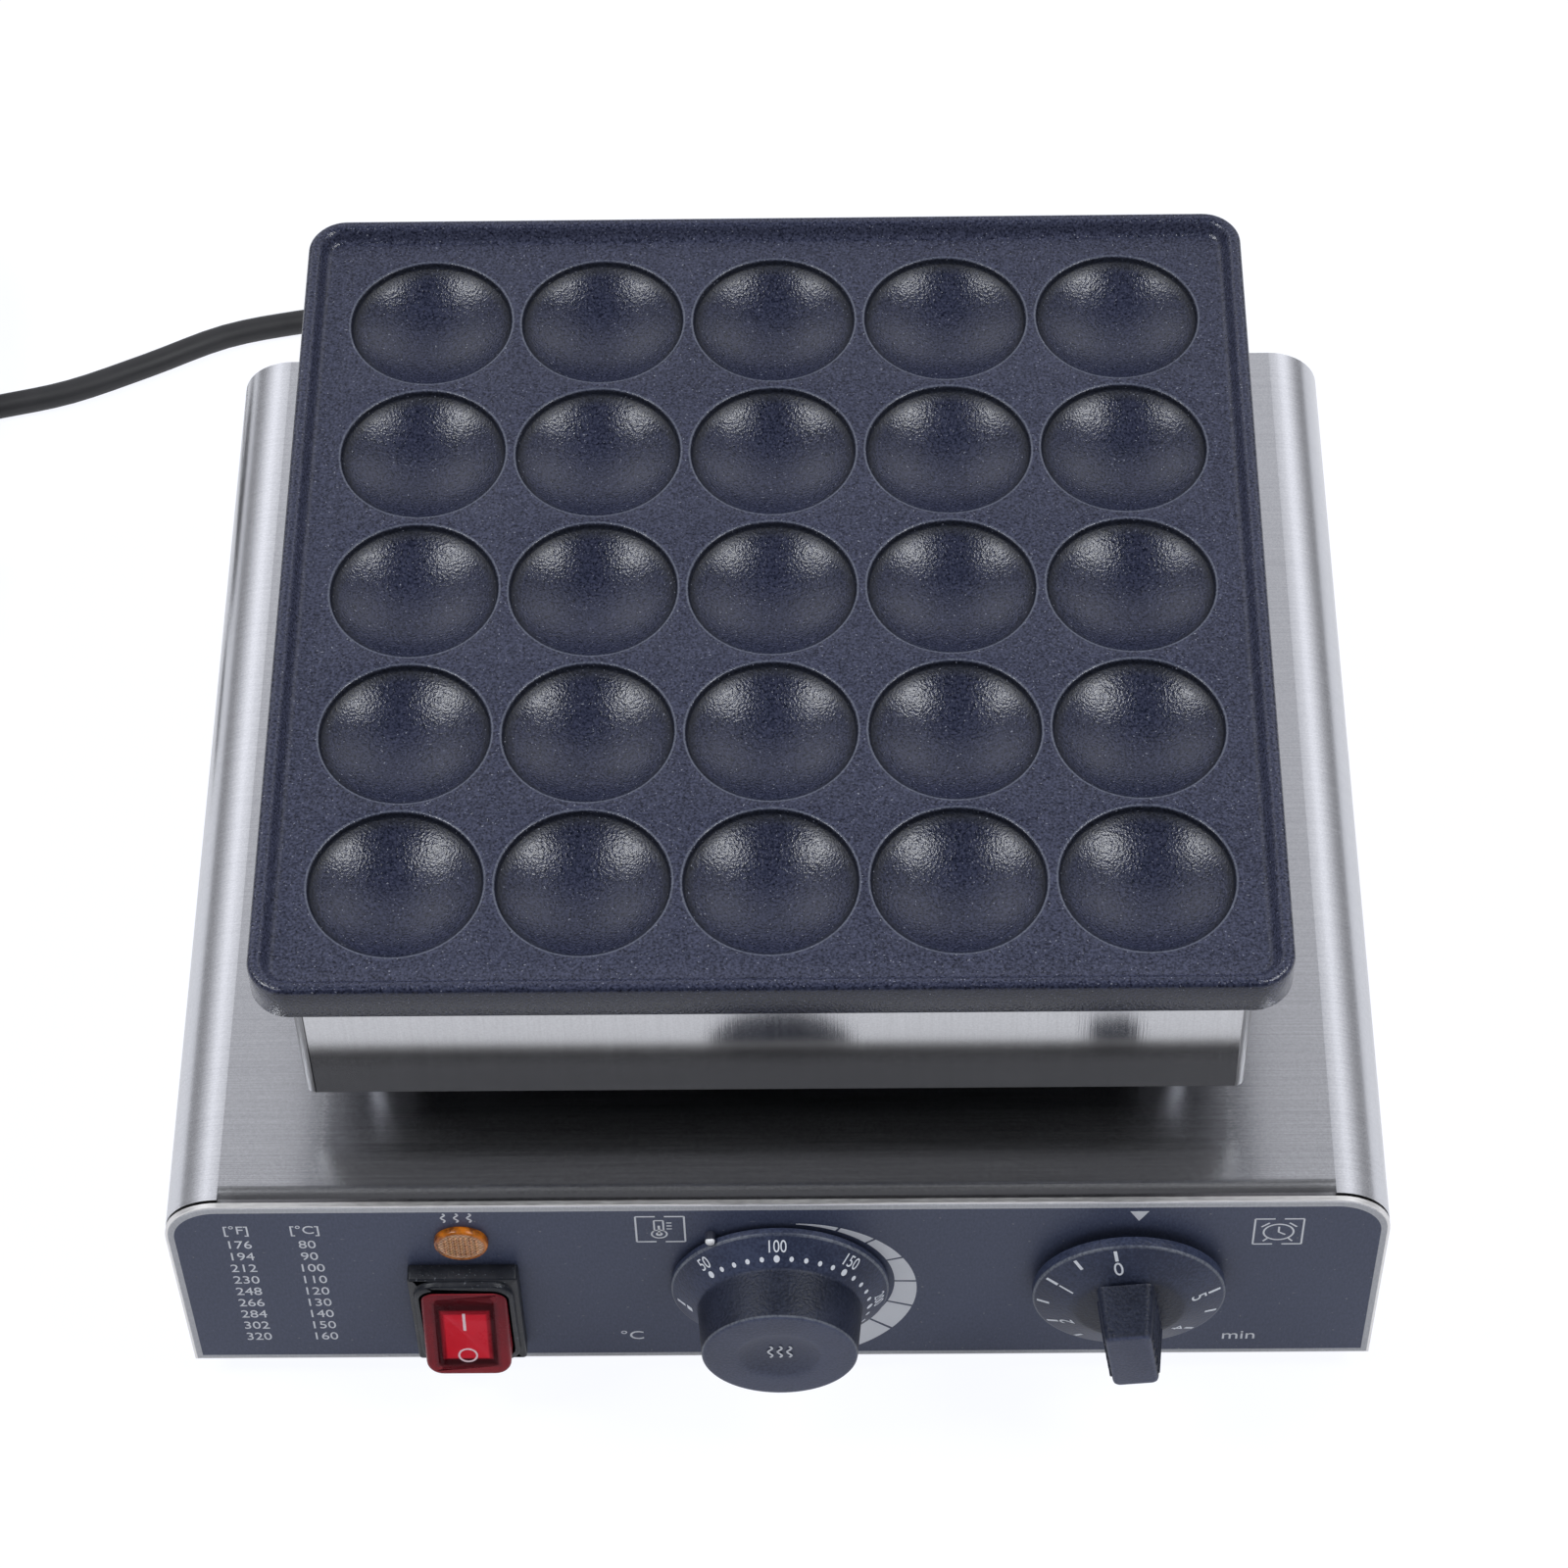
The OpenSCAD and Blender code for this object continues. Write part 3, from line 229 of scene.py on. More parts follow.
gland_low, gland_high = cad("cord_gland")
boot_tip = Vector(((gland_low.x + gland_high.x) / 2, gland_high.y, (gland_low.z + gland_high.z) / 2))
coil_enter = Vector((coil_middle.x + cord_d, coil_middle.y - coil_outside, coil_floor))
coil_leave = Vector((coil_middle.x + coil_outside, coil_middle.y - cord_d,
                     coil_floor + (coil_layers - 1) * coil_step))
plug_tip = Vector((-268, 168, 12))
straight = Vector((0, 8, 0))
cord_route = [boot_tip, boot_tip + straight, (-63, 224, 26), (-73, 238, 20), (-90, 247, 13), (-112, 251, 8),
              (-134, 251, 5.5), (-157, 249, 4), (-181, 243, 4), (-205, 231, 4), (-229, 220, 4),
              (-251, 214, 4), (-272, 208, 5), coil_enter + Vector((8, 0, 0)), coil_enter]
tail_route = [coil_leave, coil_leave - straight, (-266, 212, 26), (-267, 198, 20), (-268, 186, 14),
              plug_tip + straight, plug_tip]
coil_rings = 36
wound = [coil_point(i / coil_rings) for i in range(int(coil_turns * coil_rings) + 1)]
cord_path = smooth_path(cord_route, 4) + wound + smooth_path(tail_route, 4)

sheath = moulded("cord_sheath", (0.012, 0.012, 0.014), (0.026, 0.026, 0.029), 0.5, 900, 0.00003)
cord_curve = bpy.data.curves.new("mains_cord", "CURVE")
cord_curve.dimensions = "3D"
cord_curve.bevel_depth = cord_d / 2000
cord_curve.bevel_resolution = 5
cord_curve.use_fill_caps = True
spline = cord_curve.splines.new("POLY")
spline.points.add(len(cord_path) - 1)
for point, place in zip(spline.points, cord_path):
    point.co = (*(place / 1000), 1)
cord_curve.materials.append(sheath.material)
cord = shown("mains_cord", cord_curve)
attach(cord, "unit")
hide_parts("power_cord", "cord_coil", "cord_tail")


# Cord fittings
# A moulded rubber boot with grip rings guards the cord where it leaves the rear panel.
# A woven strap ties the coil, and a moulded plug with a waisted grip closes the far end.
def spun(outline, steps):
    """A turned mesh: an outline of (radius, height) points spun about Z."""
    mesh = bmesh.new()
    line = [mesh.verts.new((radius, 0, height)) for radius, height in outline]
    edges = [mesh.edges.new(pair) for pair in zip(line, line[1:])]
    bmesh.ops.spin(mesh, geom=line + edges, axis=(0, 0, 1), cent=(0, 0, 0), angle=math.tau, steps=steps,
                   use_merge=True)
    bmesh.ops.remove_doubles(mesh, verts=mesh.verts, dist=0.001)
    return mesh


def rounded_ring(mesh, width, depth, corner, height, steps):
    """The edges of a rectangle with round corners, lying at a height."""
    ring = bmesh.ops.create_circle(mesh, radius=1, segments=4 * steps)["verts"]
    for i, vert in enumerate(ring):
        quarter, step = divmod(i, steps)
        angle = math.radians(90 * (quarter + step / (steps - 1)))
        side = Vector(((1, -1, -1, 1)[quarter], (1, 1, -1, -1)[quarter]))
        vert.co = (side.x * (width / 2 - corner) + corner * math.cos(angle),
                   side.y * (depth / 2 - corner) + corner * math.sin(angle), height)
    return list({edge for vert in ring for edge in vert.link_edges})


def lofted(sections, steps=8, closed=False):
    """A mesh through rounded rectangles (width, depth, corner, height), with flat ends or as a ring."""
    mesh = bmesh.new()
    rings = [rounded_ring(mesh, *section, steps) for section in sections]
    pairs = list(zip(rings, rings[1:]))
    if closed:
        pairs.append((rings[-1], rings[0]))
    for lower, upper in pairs:
        bmesh.ops.bridge_loops(mesh, edges=lower + upper)
    if not closed:
        bmesh.ops.edgeloop_fill(mesh, edges=rings[0])
        bmesh.ops.edgeloop_fill(mesh, edges=rings[-1])
    return mesh


def placed(mesh, matrix):
    bmesh.ops.transform(mesh, matrix=matrix, verts=mesh.verts)
    return mesh


def joined(parts):
    """One mesh from several."""
    whole = bmesh.new()
    for part in parts:
        data = bpy.data.meshes.new("part")
        part.to_mesh(data)
        part.free()
        whole.from_mesh(data)
        bpy.data.meshes.remove(data)
    return whole


def keep(name, mesh, body, finish, nodes=(), sharp=35):
    """A finished piece from a mesh in millimetres, on the body that carries it, in place of some solids."""
    bmesh.ops.recalc_face_normals(mesh, faces=mesh.faces)
    bmesh.ops.scale(mesh, vec=(0.001, 0.001, 0.001), verts=mesh.verts)
    data = bpy.data.meshes.new(name)
    mesh.to_mesh(data)
    mesh.free()
    data.materials.append(finish.material)
    data.shade_smooth()
    data.set_sharp_from_angle(angle=math.radians(sharp))
    made = shown(name, data)
    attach(made, body)
    if nodes:
        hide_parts(*nodes)
    return made


boot_l = 40
boot_flange = 3
boot_wide, boot_thin = 8.0, 4.9
boot_rings = 8
ring_pitch = (boot_l - 4) / boot_rings
ring_gap = 1.3
ring_bevel = 0.7
boot_end = boot_flange + boot_l
boot_line = [(0, -15), (9, -15), (9, 0), (11.5, 0), (12, 0.5), (12, 2.4), (11.4, boot_flange),
             (8.8, boot_flange)]
for i in range(boot_rings):
    low = boot_flange + 1.5 + i * ring_pitch
    high = low + ring_pitch - ring_gap
    radius = boot_wide + (boot_thin - boot_wide) * i / boot_rings
    boot_line += [(radius - ring_bevel, low), (radius, low + ring_bevel), (radius, high - ring_bevel),
                  (radius - ring_bevel, high)]
boot_line += [(boot_thin, boot_end - 1), (boot_thin - 0.4, boot_end), (0, boot_end)]
backward = Matrix.Rotation(math.radians(-90), 4, "X")
rubber = moulded("boot_rubber", (0.010, 0.010, 0.011), (0.022, 0.022, 0.024), 0.55, 700)
boot_place = Matrix.Translation(boot_tip - Vector((0, boot_end, 0))) @ backward
boot = keep("cord_boot", placed(spun(boot_line, 48), boot_place), "unit", rubber, ["cord_gland"])

tie_low, tie_high = cad("cord_tie")
tie_size = tie_high - tie_low
tie_t = 1.2
tie_corner = 3
tie_out = (tie_size.y, tie_size.z, tie_corner)
tie_in = (tie_size.y - 2 * tie_t, tie_size.z - 2 * tie_t, tie_corner - tie_t)
tie_ring = [(*tie_out, 0), (*tie_out, tie_size.x), (*tie_in, tie_size.x), (*tie_in, 0)]
sideways = Matrix(((0, 0, 1, 0), (1, 0, 0, 0), (0, 1, 0, 0), (0, 0, 0, 1)))
tie_y, tie_z = (tie_low.y + tie_high.y) / 2, (tie_low.z + tie_high.z) / 2
tie_place = Matrix.Translation((tie_low.x, tie_y, tie_z)) @ sideways
weave = Finish("strap_weave", {})
thread_rate = 5200
threads = (weave.place.along("X") * thread_rate).wave()
picks = ((weave.place.along("Z") + weave.place.along("Y")) * thread_rate).wave()
cloth = (threads * picks).spread(-1, 1)
weave.feed("Base Color", cloth.blend((0.012, 0.012, 0.013), (0.05, 0.05, 0.055)))
weave.feed("Roughness", cloth.spread(0, 1, 0.75, 0.95))
weave.feed("Normal", cloth.bump(0.0002))
tie = keep("coil_strap", placed(lofted(tie_ring, 6, True), tie_place), "unit", weave, ["cord_tie"])

plug_line = [(9.8, 9.8, 4.9, 0), (11, 11, 5.4, 1)]
for i in range(5):
    ridge = (11.5 + i, 11.5 + i, 5.7 + i / 2)
    groove = (10.4 + i, 10.4 + i, 5.1 + i / 2)
    plug_line += [(*ridge, 3 * i + 2), (*ridge, 3 * i + 3.4), (*groove, 3 * i + 3.8)]
plug_line += [(17.4, 17.4, 8.6, 18), (22, 20, 6.5, 20), (26, 23, 6, 21.2), (27, 24, 6, 23), (27, 24, 6, 31),
              (25.4, 22.4, 6, 33), (25.4, 22.4, 6, 43), (27, 24, 6, 45), (27, 24, 6, 48.6),
              (25.8, 22.8, 5.5, 50)]
forward = Matrix.Rotation(math.radians(90), 4, "X")
plug_place = Matrix.Translation(plug_tip) @ forward
plug = keep("plug_grip", placed(lofted(plug_line), plug_place), "unit", sheath, ["plug_body"])
cord_length = sum((b - a).length for a, b in zip(cord_path, cord_path[1:])) / 1000


# Feet and base plate
# Four black rubber feet stand under a flat vented base plate, each on a sunk screw.
# The base plate is screwed to the casing's lower flanges.
def dress(finish, *nodes):
    """Give solids that keep their own shape a finish."""
    for node in nodes:
        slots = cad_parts[node].data.materials
        slots.clear()
        slots.append(finish.material)


def metal(name, dark, light, streak, cloud, low_gloss, high_gloss, depth=0.000004, speckle=0.1):
    """Bare metal with streaks, broad clouds, fine specks and uneven gloss; scales are as for noise."""
    made = Finish(name, {"Metallic": 1.0})
    fine = made.place.noise(streak, 2.0, 0.6)
    broad = made.place.noise(cloud, 2.0)
    specks = made.place.noise(1700, 1.0)
    mixed = (fine * 0.65 + broad * 0.35) * (1 - speckle) + specks * speckle
    made.feed("Base Color", mixed.spread(0.3, 0.7).blend(dark, light))
    made.feed("Roughness", mixed.spread(0.3, 0.7, low_gloss, high_gloss))
    made.feed("Normal", fine.bump(depth, 0.5))
    return made


foot_rubber = moulded("foot_rubber", (0.014, 0.014, 0.015), (0.03, 0.03, 0.032), 0.7, 600, 0.00006)
dress(foot_rubber, "foot_1", "foot_2", "foot_3", "foot_4")
zinc = metal("zinc_plate", (0.50, 0.50, 0.47), (0.70, 0.70, 0.66), 900, 120, 0.3, 0.48)
base_steel = metal("base_steel", (0.40, 0.40, 0.41), (0.56, 0.56, 0.58),
                   (25, 1800, 25), (40, 300, 40), 0.34, 0.5)
dress(base_steel, "base_plate")
dress(zinc, "foot_screws", "foot_nuts", "base_screws")


# Casing
# One brushed stainless sheet is bent down at both sides and rolled in along its front edge.
# The brushing runs round the bends, so it crosses the top and goes down the sides.
casing_steel = metal("casing_steel", (0.51, 0.515, 0.54), (0.66, 0.665, 0.69),
                     (25, 2600, 25), (9, 900, 9), 0.2, 0.27, 0.00003, 0.45)
case_low, case_high = cad("casing")
# Painted shade: away from the bends, the front roll gets a darker base colour than the rest of the sheet.
on_roll = casing_steel.mm("Y").spread(case_low.y + 1, case_low.y + 6, 1.0, 0.0)
off_bends = abs(casing_steel.mm("X")).spread(case_high.x - 20, case_high.x - 14, 1.0, 0.0)
roll_painted_shade = (on_roll * off_bends).blend(casing_steel.fed("Base Color"), (0.30, 0.30, 0.32))
casing_steel.feed("Base Color", roll_painted_shade)
dress(casing_steel, "casing")


# Rear panel
# A flat steel plate with two groups of upright vent slots closes the rear.
# Pan-head screws with crossed slots hold it to the casing's rear flanges.
def block(length, width, thick):
    """A box about the origin."""
    mesh = bmesh.new()
    bmesh.ops.create_cube(mesh, size=1)
    bmesh.ops.scale(mesh, vec=(length, width, thick), verts=mesh.verts)
    return mesh


rear_steel = metal("rear_steel", (0.48, 0.48, 0.49), (0.62, 0.62, 0.63),
                   (18, 18, 2200), (5, 5, 240), 0.26, 0.38)
dress(rear_steel, "rear_panel")
panel_z = case_low.z
rear_face = cad("rear_panel")[1].y
screw_head = [(0, -4), (1.9, -4), (1.9, 0), (3.5, 0), (3.5, 0.6), (3.2, 1.3), (2.4, 1.8), (1.2, 2.0),
              (0, 2.0)]
slot_h = 1.97
edge_screw_x = case_high.x - 7
top_screw_x = case_high.x / 2
screw_places = [(side * edge_screw_x, z) for side in (-1, 1) for z in (20, 55)]
screw_places += [(side * top_screw_x, 73) for side in (-1, 1)]
heads = []
for x, z in screw_places:
    place = Matrix.Translation((x, rear_face, panel_z + z)) @ backward
    heads.append(placed(spun(screw_head, 24), place))
    for turn in (20, 110):
        slot_turn = Matrix.Rotation(math.radians(turn + x), 4, "Z")
        slot_place = place @ Matrix.Translation((0, 0, slot_h)) @ slot_turn
        heads.append(placed(block(4.0, 0.7, 0.1), slot_place))
keep("rear_screw_heads", joined(heads), "unit", zinc, ["rear_screws"])
dress(rubber, "gland_nut")


# Front panel
# A flat steel plate with rounded upper corners closes the front, held by studs and nuts from behind.
# Its cut edge shows as a narrow warm-grey band round the film.
panel_steel = metal("panel_steel", (0.66, 0.65, 0.64), (0.80, 0.79, 0.78),
                    (300, 2200, 300), (40, 240, 40), 0.34, 0.48)
dress(panel_steel, "front_panel")
dress(zinc, "panel_nuts")


# Panel film
# A printed polyester film with a fine upright grain is glued over the panel.
# It is slate blue inside a silver-blue border that follows the panel's outline.
film_low, film_high = cad("panel_overlay")
face_y = film_low.y
border_side, border_top = 1.6, 2.2
field_half = film_high.x - border_side
field_low = film_low.z + border_side
field_high = film_high.z - border_top
field_corner = 12.5
film = Finish("panel_film", {"Specular IOR Level": 0.2})
across = abs(film.mm("X")) - (field_half - field_corner)
upward = film.mm("Z") - (field_high - field_corner)
past_corner = (across.at_least(0) ** 2 + upward.at_least(0) ** 2) ** 0.5 - field_corner
border = past_corner.at_least(field_low - film.mm("Z")).spread(-0.04, 0.04)
film_grain = film.place.noise((1700, 1700, 700), 1.0)
film_cloud = film.place.noise(14, 2.0)
film_tone = film_grain * 0.75 + film_cloud * 0.25
film_share = film_tone.spread(0.3, 0.7)
film_dust = film.place.noise(900, 0.0).spread(0.80, 0.85)
slate = film_share.blend((0.041, 0.051, 0.095), (0.077, 0.092, 0.156))
silver = film_share.blend((0.44, 0.45, 0.49), (0.54, 0.55, 0.59))
film.feed("Base Color", border.blend(film_dust.blend(slate, (0.18, 0.19, 0.22)), silver))
film.feed("Roughness", film_tone.spread(0.3, 0.7, 0.38, 0.5))
film.feed("Normal", film_grain.bump(0.00002, 0.4))
dress(film, "panel_overlay")


# Panel print
# Pale silver-blue ink printed on the film: a heat scale beside the thermostat, a mark for the timer,
# plain pictograms, units and a table of temperatures.
ink = 0.05
stroke = 0.5
thin_stroke = 0.45
capital_share = 0.72
scale_start = 8
scale_in, scale_in_growth = 29.2, 0.0145
scale_out, scale_out_growth = 29.4, 0.0807


def bar(x0, y0, x1, y1, width, thick=ink):
    """A printed or raised stroke from one point to another."""
    run = Vector((x1 - x0, y1 - y0))
    middle = Matrix.Translation(((x0 + x1) / 2, (y0 + y1) / 2, thick / 2))
    return placed(block(run.length, width, thick), middle @ Matrix.Rotation(math.atan2(run.y, run.x), 4, "Z"))


def heat_wave(x, low, step, sway, width):
    """A wavy line that rises in sixteen short strokes."""
    path = [(x + sway * math.sin(k * math.pi * 3 / 16), low + step * k) for k in range(17)]
    return [bar(*a, *b, width) for a, b in zip(path, path[1:])]


def hoop(x, y, radius, width, thick=ink):
    """A printed or raised ring."""
    low, high = radius - width / 2, radius + width / 2
    outline = [(low, 0), (low, thick), (high, thick), (high, 0), (low, 0)]
    return placed(spun(outline, 32), Matrix.Translation((x, y, 0)))


def spot(x, y, radius):
    """A printed dot."""
    return placed(spun([(0, ink), (radius, ink), (radius, 0), (0, 0)], 20), Matrix.Translation((x, y, 0)))


def lettered(words, height, squeeze, x, y):
    """Plain figures of a height, centred on a point."""
    curve = bpy.data.curves.new("words", "FONT")
    curve.body = words
    curve.size = height / capital_share
    curve.align_x = "CENTER"
    curve.align_y = "CENTER"
    curve.resolution_u = 4
    curve.extrude = ink / 2
    text = bpy.data.objects.new("words", curve)
    data = bpy.data.meshes.new_from_object(text)
    mesh = bmesh.new()
    mesh.from_mesh(data)
    bpy.data.objects.remove(text)
    bpy.data.curves.remove(curve)
    bpy.data.meshes.remove(data)
    bmesh.ops.remove_doubles(mesh, verts=mesh.verts, dist=0.0005)
    bmesh.ops.scale(mesh, vec=(squeeze, 1, 1), verts=mesh.verts)
    return placed(mesh, Matrix.Translation((x, y, ink / 2)))


def wedge(start, end):
    """One field of the heat scale, between two angles clockwise from the top of the dial."""
    mesh = bmesh.new()
    bmesh.ops.create_grid(mesh, x_segments=8, y_segments=1, size=0.5)
    for vert in mesh.verts:
        angle = start + (end - start) * (vert.co.x + 0.5)
        inner = scale_in + scale_in_growth * (angle - scale_start)
        outer = scale_out + scale_out_growth * (angle - scale_start)
        reach = inner + (outer - inner) * (vert.co.y + 0.5)
        vert.co = (reach * math.sin(math.radians(angle)), reach * math.cos(math.radians(angle)), 0)
    bmesh.ops.solidify(mesh, geom=mesh.faces[:], thickness=ink)
    return placed(mesh, Matrix.Translation((0, 0, ink)))


def on_panel(x, z, out=0.0):
    """From a drawing that faces up to the panel's face, at a place above the panel's lower edge."""
    return Matrix.Translation((x, face_y - out, panel_z + z)) @ forward


def middle_of(node):
    low, high = cad(node)
    return (low.x + high.x) / 2, (low.z + high.z) / 2 - panel_z


thermostat_x, dial_z = middle_of("thermostat_knob")
timer_x = middle_of("timer_knob")[0]
print_marks = []
wedge_joints = [8.4, 30.8, 50.1, 70.4, 91.3, 111.7, 131.3, 151.6]
wedge_gap = 0.7
for start, end in zip(wedge_joints, wedge_joints[1:]):
    field = wedge(start + wedge_gap, end - wedge_gap)
    print_marks.append(placed(field, Matrix.Translation((thermostat_x, dial_z, 0))))

pointer = bmesh.new()
bmesh.ops.create_circle(pointer, cap_ends=True, segments=3, radius=1)
for vert, corner in zip(pointer.verts, ((91.9, 75.3), (94.35, 70.5), (96.8, 75.3))):
    vert.co = (*corner, 0)
bmesh.ops.solidify(pointer, geom=pointer.faces[:], thickness=ink)
print_marks.append(placed(pointer, Matrix.Translation((0, 0, ink))))

# Heat waves over the lamp
for i in range(3):
    print_marks += heat_wave(-86.6 + 3.4 * i, 72.0, 0.27, 0.5, stroke)

# Frames with open sides for the two pictograms
frame_size = 12.7
frame_break = 2.4
for left, low in ((-36.6, 61.5), (124.6, 58.3)):
    right, high = left + frame_size, low + frame_size
    half_way = (left + right) / 2
    print_marks += [bar(x, low, x, high, stroke) for x in (left, right)]
    for y in (low, high):
        print_marks.append(bar(left, y, half_way - frame_break / 2, y, stroke))
        print_marks.append(bar(half_way + frame_break / 2, y, right, y, stroke))

# A thermometer with its scale, and a clock face
stem_x, stem_z, stem_top = -30.6, 65.4, 72.2
stem_sides = (stem_x - 1.2, stem_x + 1.2)
print_marks += [bar(x, stem_z + 1.4, x, stem_top, thin_stroke) for x in stem_sides]
print_marks.append(bar(stem_sides[0], stem_top, stem_sides[1], stem_top, thin_stroke))
print_marks.append(bar(stem_x, stem_z, stem_x, 69.6, 0.6))
print_marks += [hoop(stem_x, stem_z, 2.0, thin_stroke), spot(stem_x, stem_z, 0.9)]
print_marks += [bar(stem_x + 2.0, z, stem_x + 3.4, z, 0.4) for z in (68.0, 69.5, 71.0)]
clock_x, clock_z = 131.0, 64.4
print_marks += [hoop(clock_x, clock_z, 3.9, stroke), bar(clock_x, clock_z, clock_x, clock_z + 2.6, stroke)]
print_marks.append(bar(clock_x, clock_z, clock_x + 1.8, clock_z - 1.3, stroke))
for x0, y0, x1, y1 in ((4.6, 2.6, 2.6, 4.6), (2.6, -3.0, 3.8, -4.6)):
    for side in (-1, 1):
        print_marks.append(bar(clock_x + side * x0, clock_z + y0, clock_x + side * x1, clock_z + y1, stroke))

# Units and the table of temperatures
print_marks += [lettered("°C", 4.4, 1.0, -40.0, 11.7), lettered("min", 4.6, 1.0, 124.0, 9.9)]
figure_h = 4.0
heading_z, first_row_z, row_pitch = 68.4, 61.0, 6.08
for x, unit, first, step in ((-141.2, "[°F]", 176, 18), (-123.2, "[°C]", 80, 10)):
    print_marks.append(lettered(unit, figure_h, 0.85, x, heading_z))
    for i in range(9):
        print_marks.append(lettered(str(first + step * i), figure_h, 0.86, x, first_row_z - row_pitch * i))

panel_ink = moulded("panel_ink", (0.66, 0.68, 0.74), (0.78, 0.80, 0.86), 0.5, 2400, 0.00001)
keep("panel_print", placed(joined(print_marks), on_panel(0, 0)), "unit", panel_ink)

index_dome = [(0, 0), (1.25, 0), (1.25, 2.5), (1.15, 2.9), (0.85, 3.15), (0.4, 3.28), (0, 3.3)]
pin = Finish("index_pin", {"Roughness": 0.3})
pin_end = (face_y - pin.mm("Y") + pin.place.noise(900)).spread(2.7, 3.0)
pin.feed("Base Color", pin_end.blend((0.03, 0.033, 0.05), (0.82, 0.83, 0.86)))
index_angle = math.radians(-36)
index_r = 30.3
index_x = thermostat_x + index_r * math.sin(index_angle)
index_z = dial_z + index_r * math.cos(index_angle)
keep("index_pin", placed(spun(index_dome, 32), on_panel(index_x, index_z)), "unit", pin)


# Rocker switch housing
# A moulded black housing clips into the panel; a raised bezel with rounded corners stands on its flange.
# The rocker swings in the deep well inside the bezel.
switch_x, switch_z = middle_of("switch_housing")
housing_line = [(26.4, 40, 0.8, -25), (26.4, 40, 0.8, 0), (29.2, 42.4, 1.0, 0), (29.2, 42.4, 1.0, 4.0),
                (28.8, 42.0, 0.9, 4.45), (28.2, 41.4, 0.8, 4.6), (26.9, 40.5, 6.2, 4.6),
                (26.4, 40.0, 6.0, 4.9), (26.4, 40.0, 6.0, 5.6), (26.1, 39.7, 5.8, 6.0),
                (25.5, 39.1, 5.5, 6.2), (24.0, 35.8, 4.7, 6.2), (23.7, 35.5, 4.6, 6.1),
                (23.6, 35.4, 4.5, 5.6), (23.6, 35.4, 4.5, -4.6)]
housing_black = Finish("switch_black", {"Specular IOR Level": 0.3})
housing_cloud = housing_black.place.noise(120).spread(0.3, 0.7)
housing_dust = housing_black.place.noise(1100, 1.0)
housing_colour = housing_cloud.blend((0.006, 0.007, 0.012), (0.015, 0.017, 0.024))
housing_black.feed("Base Color", housing_dust.spread(0.66, 0.76).blend(housing_colour, (0.10, 0.11, 0.13)))
housing_black.feed("Roughness", housing_cloud.spread(0, 1, 0.36, 0.5))
housing_black.feed("Normal", housing_dust.bump(0.00012, 0.6))
keep("switch_bezel", placed(lofted(housing_line), on_panel(switch_x, switch_z)), "unit", housing_black,
     ["switch_housing"], 50)
brass = metal("terminal_brass", (0.70, 0.50, 0.22), (0.85, 0.64, 0.32), 900, 90, 0.25, 0.4)
dress(brass, "switch_terminals")


# Rocker
# A translucent red rocker turns on two pins; its upper end is pressed in at rest.
# A dark ring parts the wine-red rim from the brighter lit window, which carries a pale I and O.
pivot_out = 2.2
rocker_tilt = 14
rocker_place = on_panel(switch_x, switch_z, pivot_out) @ Matrix.Rotation(math.radians(-rocker_tilt), 4, "X")
rocker_line = [(22.0, 31.7, 4.1, -2.5), (22.8, 32.5, 4.5, -1.7), (22.8, 32.5, 4.5, 6.7),
               (22.6, 32.3, 4.4, 7.15), (22.2, 31.9, 4.2, 7.5), (21.6, 31.3, 3.9, 7.75),
               (20.8, 30.5, 3.5, 7.87), (19.8, 29.5, 3.0, 7.9), (16.0, 25.7, 1.4, 7.9)]
rocker_face = 7.86
red = Finish("rocker_red", {"Specular IOR Level": 0.16, "Subsurface Weight": 0.2, "Emission Strength": 1.0,
                            "Subsurface Radius": (0.004, 0.0005, 0.0005)})
pivot = on_panel(switch_x, switch_z, pivot_out).translation
slope_cos, slope_sin = math.cos(math.radians(rocker_tilt)), math.sin(math.radians(rocker_tilt))
red_x = abs(red.mm("X") - pivot.x)
red_z = red.mm("Z") - pivot.z
red_y = red.mm("Y") - pivot.y
red_up = red_z * slope_cos + red_y * slope_sin
red_cloud = red.place.noise(90).spread(0.3, 0.7)
red_fine = red.place.noise(1400, 1.0)


def red_box(half_x, half_y, low, soft):
    """1 outside a rectangle on the rocker's face and 0 inside it, low being how far its middle lies down."""
    return (red_x - half_x).at_least(abs(red_up + low) - half_y).spread(-soft, soft)


core_edge = red_box(5.7, 8.4, 1.2, 0.3)
window_edge = red_box(6.6, 9.2, 0.6, 0.35)
ring_edge = red_box(8.3, 11.8, 0.6, 0.9)
rim_tone = red_cloud * 0.5 + red_up.spread(-15, 15, 0.5, 0.0)
rim_red = rim_tone.blend((0.11, 0.003, 0.010), (0.24, 0.010, 0.018))
ring_red = red_cloud.blend((0.032, 0.005, 0.009), (0.046, 0.007, 0.012))
glow_red = red_cloud.blend((0.24, 0.007, 0.016), (0.30, 0.009, 0.020))
core_red = red_cloud.blend((0.45, 0.020, 0.036), (0.53, 0.026, 0.044))
lit = core_edge.blend(core_red, glow_red)
lit = window_edge.blend(lit, ring_red)
lit = ring_edge.blend(lit, rim_red)
# Painted highlight: the rounding along the top edge is lighter.
lit = red_up.spread(15.6, 16.1).blend(lit, (0.40, 0.008, 0.018))
red.feed("Base Color", lit)
glow = core_edge.blend((0.19, 0.010, 0.018), (0.09, 0.004, 0.008))
glow = window_edge.blend(glow, (0.016, 0.001, 0.002))
